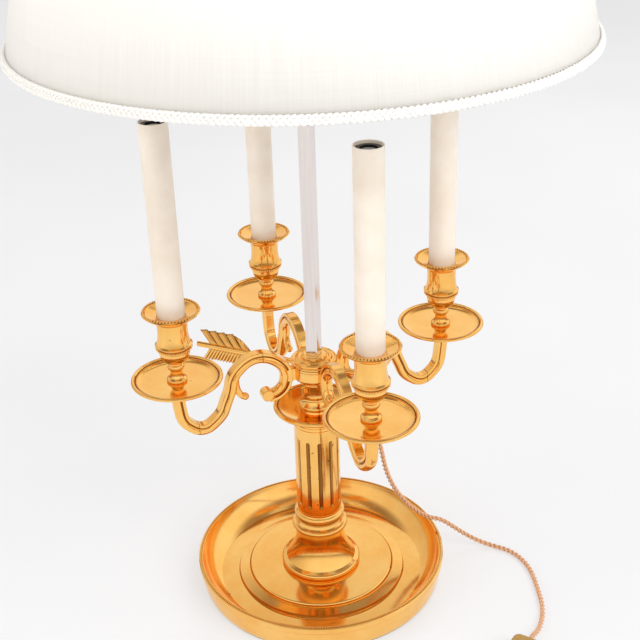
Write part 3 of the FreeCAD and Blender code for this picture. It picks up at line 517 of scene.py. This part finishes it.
# %% Twist the two cores
def carried_frames(points):
    """A side vector at each point that turns with the line but doesn't spin about it."""
    sides = []
    side = None
    for i in range(len(points)):
        along = (points[min(i + 1, len(points) - 1)] - points[max(i - 1, 0)]).normalized()
        if side is None:
            side = along.orthogonal()
        side = (side - along * side.dot(along)).normalized()
        sides.append((side.copy(), along.cross(side)))
    return sides


def wound_strands(name, points, strands, offset, radius, lay, sides):
    """Strands that wind round a line, each a closed round tube."""
    frames = carried_frames(points)
    verts = []
    faces = []
    for strand in range(strands):
        run = 0.0
        centres = []
        for i, (place, (a, b)) in enumerate(zip(points, frames)):
            if i:
                run += (place - points[i - 1]).length
            angle = 2 * math.pi * (run / lay + strand / strands)
            centres.append(place + (a * math.cos(angle) + b * math.sin(angle)) * offset)
        rings = carried_frames(centres)
        first = len(verts)
        for centre, (a, b) in zip(centres, rings):
            for s in range(sides):
                angle = 2 * math.pi * s / sides
                verts.append(centre + (a * math.cos(angle) + b * math.sin(angle)) * radius)
        for i in range(len(centres) - 1):
            for s in range(sides):
                low = first + i * sides + s
                next_low = first + i * sides + (s + 1) % sides
                faces.append((low, next_low, next_low + sides, low + sides))
        faces.append(tuple(first + s for s in reversed(range(sides))))
        last = first + (len(centres) - 1) * sides
        faces.append(tuple(last + s for s in range(sides)))
    return mesh_piece(name, verts, faces)


cord_lay = 10.0 * MM
strand_offset = 1.27 * MM
strand_radius = 1.23 * MM
cord_line, cord_length = evenly(spline_points("cord_line", route), 0.9 * MM)
cord = wound_strands("mains_cord_twist", cord_line, 2, strand_offset, strand_radius, cord_lay, 8)
print("cord length", round(cord_length, 4), "points", len(cord_line))


def silk_flex():
    """Antique gold artificial silk, braided fine, with a soft sheen.

    Real threads lie about 0.35 mm apart, too fine to show, so they are drawn about 0.9 mm apart.
    """
    material, tree, shader, place = new_material("antique_gold_silk_braid")
    thread = add_node(tree, "ShaderNodeTexWave", links={"Vector": place},
                      values={"Scale": 420.0, "Distortion": 3.0, "Detail": 2.0},
                      wave_type="BANDS", bands_direction="DIAGONAL")
    tone = add_node(tree, "ShaderNodeValToRGB", links={"Fac": thread.outputs["Fac"]},
                    stops=[(0.2, "#C68A5C"), (0.8, "#EDBE94")]).outputs["Color"]
    tree.links.new(tone, shader.inputs["Base Color"])
    bump = add_node(tree, "ShaderNodeBump", links={"Height": thread.outputs["Fac"]},
                    values={"Strength": 0.3, "Distance": 0.1 * MM})
    tree.links.new(bump.outputs["Normal"], shader.inputs["Normal"])
    shader.inputs["Roughness"].default_value = 0.5
    shader.inputs["Sheen Weight"].default_value = 0.4
    return material


def cotton_tape():
    """Bleached cotton tape: matt, with ribs of its weave about 0.6 mm apart."""
    material, tree, shader, place = new_material("cotton_tape")
    weave = add_node(tree, "ShaderNodeTexWave", links={"Vector": place}, values={"Scale": 500.0})
    tone = add_node(tree, "ShaderNodeValToRGB", links={"Fac": weave.outputs["Fac"]},
                    stops=[(0.2, "#DDD5C5"), (0.8, "#F2ECDF")]).outputs["Color"]
    tree.links.new(tone, shader.inputs["Base Color"])
    shader.inputs["Roughness"].default_value = 0.85
    return material


silk = silk_flex()
dress(cord, "stand", silk)
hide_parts("mains_cord_run", "mains_cord_tail", "mains_cord_coil", "mains_cord_end")
paint(["coil_tie"], cotton_tape())

# %% [markdown]
# ## The grooves of the arms
# Each arm has a narrow ridge, a groove beside it, and a broad body. A dark line paints the groove's
# shade, with some patina.
# The arm's path is a run of arcs, two to each stretch, that keep a smooth tangent at every point. The
# dark line follows the same path, moved sideways into the groove.

# %% Dark lines in the grooves
arm_angles = {"front_left": 225, "front_right": 315, "back_right": 45, "back_left": 135}
arm_route = [
    (127.0, 243.5), (127.9, 224.0), (121.0, 199.5), (107.5, 191.6), (93.0, 199.0), (82.3, 219.0),
    (74.3, 240.5), (57.0, 251.3), (39.0, 246.4), (27.8, 229.0), (33.0, 214.6), (44.5, 210.6),
]
arm_half_width = 5.3
arm_half_thickness = 4.4
ridge_width = 2.6
groove_width = 1.1
groove_depth = 1.3
groove_shade_radius = 0.42


def arc_points(start, tangent, end, pieces=8):
    """Points and tangents on the arc that leaves start along tangent and ends at end."""
    chord = end - start
    turn = 2 * math.atan2(tangent.x * chord.y - tangent.y * chord.x, tangent.dot(chord))
    result = []
    for i in range(1, pieces + 1):
        angle = turn * i / pieces
        share = math.sin(angle / 2) / math.sin(turn / 2) if abs(turn) > 1e-6 else i / pieces
        lean = (angle - turn) / 2
        along = Vector((chord.x * math.cos(lean) - chord.y * math.sin(lean),
                        chord.x * math.sin(lean) + chord.y * math.cos(lean)))
        way = Vector((tangent.x * math.cos(angle) - tangent.y * math.sin(angle),
                      tangent.x * math.sin(angle) + tangent.y * math.cos(angle)))
        result.append((start + along * share, way))
    return result


def arm_line():
    """Points and tangents along the middle of an arm."""
    points = [Vector(p) for p in arm_route]
    ways = [Vector((0, -1))]
    for before, here, after in zip(points, points[1:], points[2:]):
        to_here, to_next = here - before, after - here
        ways.append((to_here / to_here.length_squared + to_next / to_next.length_squared).normalized())
    ways.append(Vector((1, 0)))
    line = [(points[0], ways[0])]
    for start, way, end, end_way in zip(points, ways, points[1:], ways[1:]):
        step = end - start
        curl = 2 * (1 - way.dot(end_way))
        lean = step.dot(way + end_way)
        reach = (-lean + math.sqrt(lean * lean + curl * step.dot(step))) / curl
        joint = (start + end + (way - end_way) * reach) / 2
        line += arc_points(start, way, joint)
        line += arc_points(joint, (end - end_way * reach - joint).normalized(), end)
    return line


def groove_line(name, side):
    """A thin dark tube laid in the groove on one side of an arm: painted shade, with some patina."""
    across = -arm_half_width + ridge_width + 0.4 + groove_width / 2
    out = arm_half_thickness - groove_depth + 0.1
    places = []
    for place, way in arm_line()[2:-6]:
        offset = place + Vector((-way.y, way.x)) * across
        places.append(Vector((offset.x, side * out, offset.y)) * MM)
    return wound_strands(name, places, 1, 0.0, groove_shade_radius * MM, 1.0, 6)


for side in (1, -1):
    line = groove_line("groove_line", side)
    for place, degrees in arm_angles.items():
        name = "groove_" + place + ("_left" if side > 0 else "_right")
        # each copy is a line of painted shade in an arm's groove
        dress(turned_copy(line, name, degrees), "stand", gilt_recess_shade)
    bpy.data.objects.remove(line)

# %% [markdown]
# ## Bead work
# Each rim of the real lamp carries a row of fine beads, struck into the casting. One bead is a
# small sphere, sunk partly into the metal. The spin operator repeats it round the rim, at the
# spacing counted in the photograph. A thin dark ring at the roots of the beads paints the shade
# in the channel that they stand in, with some tarnish.

# %% Spin one bead into a ring
candle_reach = 127.0
bead_segments = 8
bead_rings = 6
bead_vertices = bead_segments * (bead_rings - 1) + 2


def bead_ring(name, centre_x, radius, height, bead_radius, spacing):
    """A ring of beads about an upright axis at centre_x, all in millimetres."""
    count = max(12, round(2 * math.pi * radius / spacing))
    clear_selection()
    bpy.ops.mesh.primitive_uv_sphere_add(segments=bead_segments, ring_count=bead_rings,
                                         radius=bead_radius * MM,
                                         location=((centre_x + radius) * MM, 0, height * MM))
    bead = bpy.context.object
    make_active(bead)
    bpy.ops.object.transform_apply(location=True, rotation=True, scale=True)
    bpy.ops.object.mode_set(mode="EDIT")
    bpy.ops.mesh.select_all(action="SELECT")
    bpy.ops.mesh.spin(steps=count - 1, dupli=True, angle=2 * math.pi * (count - 1) / count,
                      center=(centre_x * MM, 0, 0), axis=(0, 0, 1))
    bpy.ops.object.mode_set(mode="OBJECT")
    ring = settle(bead, name)
    print(name, "beads", count, "in the mesh", len(ring.data.vertices) // bead_vertices)
    return ring


def channel_ring(name, centre_x, radius, height, half_width):
    """A dark ring of painted shade at the roots of a row of beads, or beside a moulding."""
    clear_selection()
    bpy.ops.mesh.primitive_torus_add(major_radius=radius * MM, minor_radius=half_width * MM,
                                     major_segments=120, minor_segments=8,
                                     location=(centre_x * MM, 0, height * MM))
    return settle(bpy.context.object, name)


base_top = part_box("base_dish")[1].z / MM
pan_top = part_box("centre_pan")[1].z / MM
foot_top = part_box("column_foot")[1].z / MM
# centre, radius, height, bead radius, spacing, then the channel's radius, height and half width
bead_rows = [
    ("base_rim", 0, 117.3, base_top + 0.35, 0.98, 2.25, 117.3, base_top - 0.55, 1.1),
    ("centre_pan", 0, 34.3, pan_top - 1.6, 0.66, 1.5, 35.3, pan_top - 1.4, 0.6),
    ("column_foot", 0, 22.2, foot_top - 10.8, 1.0, 2.3, 21.4, foot_top - 10.8, 1.0),
    ("pan", candle_reach, 35.2, 248.0, 0.66, 1.5, 36.2, 248.2, 0.55),
    ("flange", candle_reach, 23.4, 313.3, 1.12, 2.7, 23.4, 312.6, 1.0),
    ("girdle", candle_reach, 14.9, 278.9, 1.0, 2.2, 13.9, 278.9, 1.0),
]
for name, x, radius, height, size, spacing, channel_radius, channel_height, half in bead_rows:
    row = bead_ring("beads_" + name, x, radius, height, size, spacing)
    # the channel ring is painted shade, with some tarnish
    channel = channel_ring("channel_" + name, x, channel_radius, channel_height, half)
    if x == 0:
        dress(row, "stand", gilt)
        dress(channel, "stand", gilt_recess_shade)
        continue
    for place, degrees in arm_angles.items():
        dress(turned_copy(row, row.name + "_" + place, degrees), "stand", gilt)
        dress(turned_copy(channel, channel.name + "_" + place, degrees), "stand", gilt_recess_shade)
    bpy.data.objects.remove(row)
    bpy.data.objects.remove(channel)

# %% [markdown]
# ## The arrow's feathers
# The vanes are cast thin and cut with a graver: a few broad lobes at the free edge, each with
# finer strokes. A grid gives the vane its points. Each point is then moved out from the shaft
# along the slant of the barbs, and raised or sunk by the strokes.

# %% Shape one vane
arrow_height = 231.0
shaft_radius = 2.6


def groove(phase, half_width):
    """1 in the middle of a groove that falls at each whole phase, and 0 away from it."""
    return max(0.0, 1.0 - min(phase, 1.0 - phase) / half_width)


def vane(name, sign, root_back, root_front, slant, reach, lobes, strokes, tooth):
    """One side of the fletching. sign is 1 above the shaft and -1 below it."""
    columns = lobes * strokes * 6
    rows = 10
    half_plate = 1.0
    clear_selection()
    bpy.ops.mesh.primitive_grid_add(x_subdivisions=columns, y_subdivisions=rows, size=1)
    thing = bpy.context.object
    layer = thing.data.attributes.new("stroke", "FLOAT", "POINT")
    for vertex, mark in zip(thing.data.vertices, layer.data):
        s = min(1.0, max(0.0, vertex.co.x + 0.5))
        t = min(1.0, max(0.0, vertex.co.y + 0.5))
        at_edge = s < 0.001 or s > 0.999 or t < 0.001 or t > 0.999
        lobe = s * lobes % 1.0
        gap = groove(lobe, 0.22)
        hatch = groove(lobe * strokes % 1.0, 0.34) if strokes > 1 else 0.0
        length = reach * (1 - tooth * (1 - lobe)) * (1 - 0.9 * max(0.0, (s - 0.78) / 0.22) ** 2)
        swell = 0.7 * math.sin(math.pi * lobe) * min(1.0, 2.5 * t)
        thick = half_plate * (1 - 0.3 * t) + swell - 0.25 * hatch - 0.35 * gap
        r = root_back + (root_front - root_back) * s + slant * length * t * (1 - 0.25 * s)
        z = arrow_height + sign * (shaft_radius * 0.6 + length * t)
        vertex.co = Vector((-r, 0.0 if at_edge else thick, z)) * MM
        # the stroke attribute is painted shade in the gaps and strokes, fainter near the shaft
        mark.value = max(gap, 0.6 * hatch) * min(1.0, 0.35 + 2 * t)
    make_active(thing)
    other_face = thing.modifiers.new("other face", "MIRROR")
    other_face.use_axis = (False, True, False)
    other_face.merge_threshold = 0.01 * MM
    bpy.ops.object.modifier_apply(modifier="other face")
    bpy.ops.object.mode_set(mode="EDIT")
    bpy.ops.mesh.select_all(action="SELECT")
    bpy.ops.mesh.normals_make_consistent(inside=False)
    bpy.ops.object.mode_set(mode="OBJECT")
    return settle(thing, name)


upper = vane("arrow_vane_upper", 1, 106.0, 64.0, 0.72, 15.6, 5, 4, 0.10)
lower = vane("arrow_vane_lower", -1, 107.0, 68.0, 0.62, 13.8, 13, 1, 0.16)
for thing in (upper, lower):
    dress(thing, "stand", gilt_carved)
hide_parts("arrow_fletching")

# %% [markdown]
# ## The shade
# The shade is a shallow drum of ivory silk stretched over card. Its lower edge carries a plaited
# braid, three strands over and under, with about 13 mm from one crossing to the next of its kind.
# A plait is a curve that swings side to side once while it swings in and out twice.

# %% Shade panel
shade_low, shade_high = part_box("shade_panel")
shade_bottom = shade_low.z / MM
shade_top = shade_high.z / MM
shade_bottom_radius = shade_high.x / MM
shade_top_radius = 190.0
shade_wall = 1.2


def shade_radius(height):
    share = (height - shade_bottom) / (shade_top - shade_bottom)
    return shade_bottom_radius + (shade_top_radius - shade_bottom_radius) * share


def silk_panel():
    """Ivory silk: a matt, fine, even weave with a soft slub."""
    material, tree, shader, _ = new_material("ivory_silk_on_card")
    around = add_node(tree, "ShaderNodeTexCoord").outputs["UV"]
    slub = add_node(tree, "ShaderNodeMapping", links={"Vector": around},
                    values={"Scale": (6.0, 420.0, 1.0)})
    threads = add_node(tree, "ShaderNodeTexNoise", links={"Vector": slub.outputs["Vector"]},
                       values={"Scale": 1.0, "Detail": 4.0})
    upright = add_node(tree, "ShaderNodeMapping", links={"Vector": around},
                       values={"Scale": (1400.0, 3.0, 1.0)})
    warp = add_node(tree, "ShaderNodeTexNoise", links={"Vector": upright.outputs["Vector"]},
                    values={"Scale": 1.0, "Detail": 2.0})
    both = add_node(tree, "ShaderNodeMath", operation="ADD",
                    links={0: threads.outputs["Fac"], 1: warp.outputs["Fac"]})
    weave = add_node(tree, "ShaderNodeMapRange", links={"Value": both.outputs[0]},
                     values={"From Min": 0.7, "From Max": 1.3, "To Min": 0.0,
                             "To Max": 1.0}).outputs["Result"]
    tone = add_node(tree, "ShaderNodeValToRGB", links={"Fac": weave},
                    stops=[(0.0, "#F6F2EA"), (1.0, "#FDFBF6")]).outputs["Color"]
    tree.links.new(tone, shader.inputs["Base Color"])
    bump = add_node(tree, "ShaderNodeBump", links={"Height": both.outputs[0]},
                    values={"Strength": 0.15, "Distance": 0.1 * MM})
    tree.links.new(bump.outputs["Normal"], shader.inputs["Normal"])
    shader.inputs["Roughness"].default_value = 0.75
    shader.inputs["Sheen Weight"].default_value = 0.2
    return material


panel_segments = 128
clear_selection()
bpy.ops.mesh.primitive_cone_add(vertices=panel_segments, radius1=shade_bottom_radius * MM,
                                radius2=shade_top_radius * MM, depth=(shade_top - shade_bottom) * MM,
                                end_fill_type="NOTHING",
                                location=(0, 0, (shade_top + shade_bottom) / 2 * MM))
panel = bpy.context.object
make_active(panel)
wall = panel.modifiers.new("card", "SOLIDIFY")
wall.thickness = shade_wall * MM
wall.offset = -1.0
bpy.ops.object.modifier_apply(modifier="card")
panel = settle(panel, "shade_silk")
dress(panel, "shade_carrier", silk_panel())
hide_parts("shade_panel")
slant = math.hypot(shade_bottom_radius - shade_top_radius, shade_top - shade_bottom)
panel_area = math.pi * (shade_bottom_radius + shade_top_radius) * slant
print("shade panel area m2", round(panel_area * 1e-6, 4))


# %% [markdown]
# ## The braid's three strands
# Each strand is a closed tube that goes once round the shade. The three share one path and start a
# third of a repeat apart, which is all that a plait is.

# %% Plait the braid
braid_pitch = 13.0
braid_swing = 2.4
braid_gap = 0.1
braid_strand = 1.45


def plait(name, middle):
    """Three strands that cross over each other round the shade's edge."""
    strand = braid_strand
    repeats = round(2 * math.pi * shade_radius(middle) / braid_pitch)
    steps_each = 10
    total = repeats * steps_each
    sides = 6
    verts = []
    faces = []
    for k in range(3):
        first = len(verts)
        centres = []
        for i in range(total):
            phase = 2 * math.pi * (i / steps_each + k / 3)
            angle = 2 * math.pi * i / total
            height = middle + braid_swing * math.sin(phase)
            out = shade_radius(height) + braid_gap + strand + 0.6 * strand * math.sin(2 * phase)
            centres.append(Vector((out * math.cos(angle), out * math.sin(angle), height)))
        for i, centre in enumerate(centres):
            along = (centres[(i + 1) % total] - centres[i - 1]).normalized()
            outward = Vector((centre.x, centre.y, 0)).normalized()
            rise = along.cross(outward).normalized()
            outward = rise.cross(along)
            for s in range(sides):
                angle = 2 * math.pi * s / sides
                away = outward * math.cos(angle) + rise * math.sin(angle)
                verts.append((centre + away * strand) * MM)
        for i in range(total):
            for s in range(sides):
                a = first + i * sides + s
                b = first + i * sides + (s + 1) % sides
                c = first + ((i + 1) % total) * sides + (s + 1) % sides
                d = first + ((i + 1) % total) * sides + s
                faces.append((a, b, c, d))
    thing = mesh_piece(name, verts, faces)
    make_active(thing)
    bpy.ops.object.mode_set(mode="EDIT")
    bpy.ops.mesh.select_all(action="SELECT")
    bpy.ops.mesh.normals_make_consistent(inside=False)
    bpy.ops.object.mode_set(mode="OBJECT")
    print(name, "repeats", repeats)
    return thing


def braid_yarn():
    """Soft white cotton cord, matt, with a little fuzz.

    Real threads lie about 0.4 mm apart, too fine to show, so they are drawn about 1 mm apart.
    """
    material, tree, shader, place = new_material("white_cotton_braid")
    thread = add_node(tree, "ShaderNodeTexWave", links={"Vector": place},
                      values={"Scale": 380.0, "Distortion": 4.0, "Detail": 2.0},
                      wave_type="BANDS", bands_direction="DIAGONAL")
    tone = add_node(tree, "ShaderNodeValToRGB", links={"Fac": thread.outputs["Fac"]},
                    stops=[(0.2, "#F3F0EA"), (0.8, "#FFFDF9")]).outputs["Color"]
    tree.links.new(tone, shader.inputs["Base Color"])
    bump = add_node(tree, "ShaderNodeBump", links={"Height": thread.outputs["Fac"]},
                    values={"Strength": 0.3, "Distance": 0.2 * MM})
    tree.links.new(bump.outputs["Normal"], shader.inputs["Normal"])
    shader.inputs["Roughness"].default_value = 0.85
    shader.inputs["Sheen Weight"].default_value = 0.3
    return material


braid_material = braid_yarn()
braid_half = 4.0
braid_low = plait("braid_bottom_plait", shade_bottom + braid_half)
dress(braid_low, "shade_carrier", braid_material)
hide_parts("shade_braid_bottom")
braid_high = plait("braid_top_plait", shade_top - braid_half)
dress(braid_high, "shade_carrier", braid_material)
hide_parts("shade_braid_top")

# %% [markdown]
# ## Inside the lampholders
# The socket of a small screw lampholder is lined with a thin threaded shell. It shows as faint
# bright rings in the black mouth of each sleeve. A zigzag profile spun round the axis gives the
# rings. A real thread climbs as it turns, which doesn't show at this size.

# %% Threaded liners
socket_radius = 7.1
liner_top = 473.0
liner_turns = 6
liner_pitch = 2.8
thread_root = 0.15
thread_crest = 0.75


def socket_liner():
    profile = []
    for i in range(liner_turns * 2 + 1):
        r = socket_radius - (thread_root if i % 2 == 0 else thread_crest)
        height = liner_top - i * liner_pitch / 2
        profile.append(Vector(((candle_reach + r) * MM, 0, height * MM)))
    thing = mesh_piece("socket_liner", profile, [])
    bm = bmesh.new()
    bm.from_mesh(thing.data)
    bm.verts.ensure_lookup_table()
    for a, b in zip(bm.verts[:], bm.verts[1:]):
        bm.edges.new((a, b))
    bm.to_mesh(thing.data)
    bm.free()
    make_active(thing)
    bpy.ops.object.mode_set(mode="EDIT")
    bpy.ops.mesh.select_all(action="SELECT")
    bpy.ops.mesh.spin(steps=32, dupli=False, angle=2 * math.pi, center=(candle_reach * MM, 0, 0),
                      axis=(0, 0, 1))
    bpy.ops.mesh.select_all(action="SELECT")
    bpy.ops.mesh.remove_doubles(threshold=0.01 * MM)
    bpy.ops.mesh.normals_make_consistent(inside=True)
    bpy.ops.object.mode_set(mode="OBJECT")
    return thing


liner = socket_liner()
for place, degrees in arm_angles.items():
    dress(turned_copy(liner, "socket_liner_" + place, degrees), "stand", zinc)
bpy.data.objects.remove(liner)

# %% [markdown]
# ## Floor, light and surroundings
# Polished metal shows what stands round it, so the surroundings matter as much as the lamps. The
# photograph was made in a white room with one broad light from the right. The world is white to
# the camera. Mirrored, it has a broad bright band, like walls and windows, and is darker overhead,
# to the left and at the horizon, which gives the gold its dark edges. The three lamps light the
# lamp without showing in the metal.

# %% Stage and light
def pale_floor():
    """A pale matt board. It keeps the lamp's soft shadow, and looks lighter than it lights."""
    material, tree, shader, place = new_material("pale_floor")
    cloud = add_node(tree, "ShaderNodeTexNoise", links={"Vector": place},
                     values={"Scale": 1.2, "Detail": 3.0})
    tone = add_node(tree, "ShaderNodeValToRGB", links={"Fac": cloud.outputs["Fac"]},
                    stops=[(0.3, "#F1F1F2"), (0.7, "#F8F8F9")]).outputs["Color"]
    tree.links.new(tone, shader.inputs["Base Color"])
    shader.inputs["Roughness"].default_value = 0.6
    glow = add_node(tree, "ShaderNodeEmission", links={"Color": tone}, values={"Strength": 1.0})
    rays = add_node(tree, "ShaderNodeLightPath")
    seen = add_node(tree, "ShaderNodeMath", operation="MAXIMUM",
                    links={0: rays.outputs["Is Camera Ray"], 1: rays.outputs["Is Glossy Ray"]})
    share = add_node(tree, "ShaderNodeMath", operation="MULTIPLY", links={0: seen.outputs[0]},
                     values={1: 0.6})
    both = add_node(tree, "ShaderNodeMixShader", links={0: share.outputs[0], 1: shader.outputs[0],
                                                        2: glow.outputs[0]})
    output = [n for n in tree.nodes if n.type == "OUTPUT_MATERIAL"][0]
    tree.links.new(both.outputs[0], output.inputs["Surface"])
    return material


clear_selection()
bpy.ops.mesh.primitive_plane_add(size=12, location=(0, 0, -0.0004))
floor = bpy.context.object
floor.name = "floor"
floor.data.materials.append(pale_floor())


def area_light(name, place, target, size, power, tint):
    clear_selection()
    bpy.ops.object.light_add(type="AREA", location=place)
    lamp = bpy.context.object
    lamp.name = name
    lamp.data.shape = "RECTANGLE"
    lamp.data.size, lamp.data.size_y = size
    lamp.data.energy = power
    lamp.data.color = colour(tint)[:3]
    lamp.visible_glossy = False
    lamp.rotation_euler = (Vector(target) - Vector(place)).to_track_quat("-Z", "Y").to_euler()
    return lamp


area_light("key_softbox", (1.6, -0.7, 1.5), (0, 0, 0.25), (1.6, 1.4), 26, "#FFFFFF")
area_light("fill_softbox", (-1.3, -1.4, 1.0), (0, 0, 0.4), (1.4, 1.4), 14, "#FFFBF6")
area_light("back_softbox", (0.2, 1.7, 1.6), (0, 0, 0.3), (1.6, 0.8), 10, "#FFFFFF")

world = bpy.data.worlds.new("white_room")
bpy.context.scene.world = world
world.use_nodes = True
sky = world.node_tree
sky.nodes.clear()
direction = add_node(sky, "ShaderNodeTexCoord").outputs["Generated"]
split = add_node(sky, "ShaderNodeSeparateXYZ", links={"Vector": direction})
raised = add_node(sky, "ShaderNodeMapRange", links={"Value": split.outputs["Z"]},
                  values={"From Min": -0.3, "From Max": 1.0, "To Min": 0.0,
                          "To Max": 1.0}).outputs["Result"]
height_tone = add_node(sky, "ShaderNodeValToRGB", links={"Fac": raised},
                       stops=[(0.0, "#B0A69F"), (0.22, "#6F645C"), (0.30, "#E9E5E2"),
                              (0.36, "#FFFFFF"), (0.70, "#FFFFFF"), (0.82, "#A89C96"),
                              (1.0, "#8A7F79")]).outputs["Color"]
sideways = add_node(sky, "ShaderNodeMapRange", links={"Value": split.outputs["X"]},
                    values={"From Min": -1.0, "From Max": 1.0, "To Min": 0.0,
                            "To Max": 1.0}).outputs["Result"]
side_tone = add_node(sky, "ShaderNodeValToRGB", links={"Fac": sideways},
                     stops=[(0.0, "#D9D2CC"), (0.3, "#F6F3F1"), (0.6, "#FFFFFF"),
                            (1.0, "#FFFFFF")]).outputs["Color"]
mirrored = add_node(sky, "ShaderNodeMix", data_type="RGBA", blend_type="MULTIPLY")
mirrored.inputs[0].default_value = 1.0
sky.links.new(height_tone, mirrored.inputs[6])
sky.links.new(side_tone, mirrored.inputs[7])
rays = add_node(sky, "ShaderNodeLightPath")
soft = add_node(sky, "ShaderNodeBackground", values={"Color": colour("#FFFFFF"), "Strength": 0.62})
shine = add_node(sky, "ShaderNodeBackground", links={"Color": mirrored.outputs[2]},
                 values={"Strength": 1.08})
white = add_node(sky, "ShaderNodeBackground", values={"Color": colour("#FFFFFF"), "Strength": 1.0})
first = add_node(sky, "ShaderNodeMixShader",
                 links={0: rays.outputs["Is Glossy Ray"], 1: soft.outputs[0], 2: shine.outputs[0]})
second = add_node(sky, "ShaderNodeMixShader",
                  links={0: rays.outputs["Is Camera Ray"], 1: first.outputs[0], 2: white.outputs[0]})
add_node(sky, "ShaderNodeOutputWorld", links={"Surface": second.outputs[0]})
bpy.context.scene.view_settings.view_transform = "Standard"
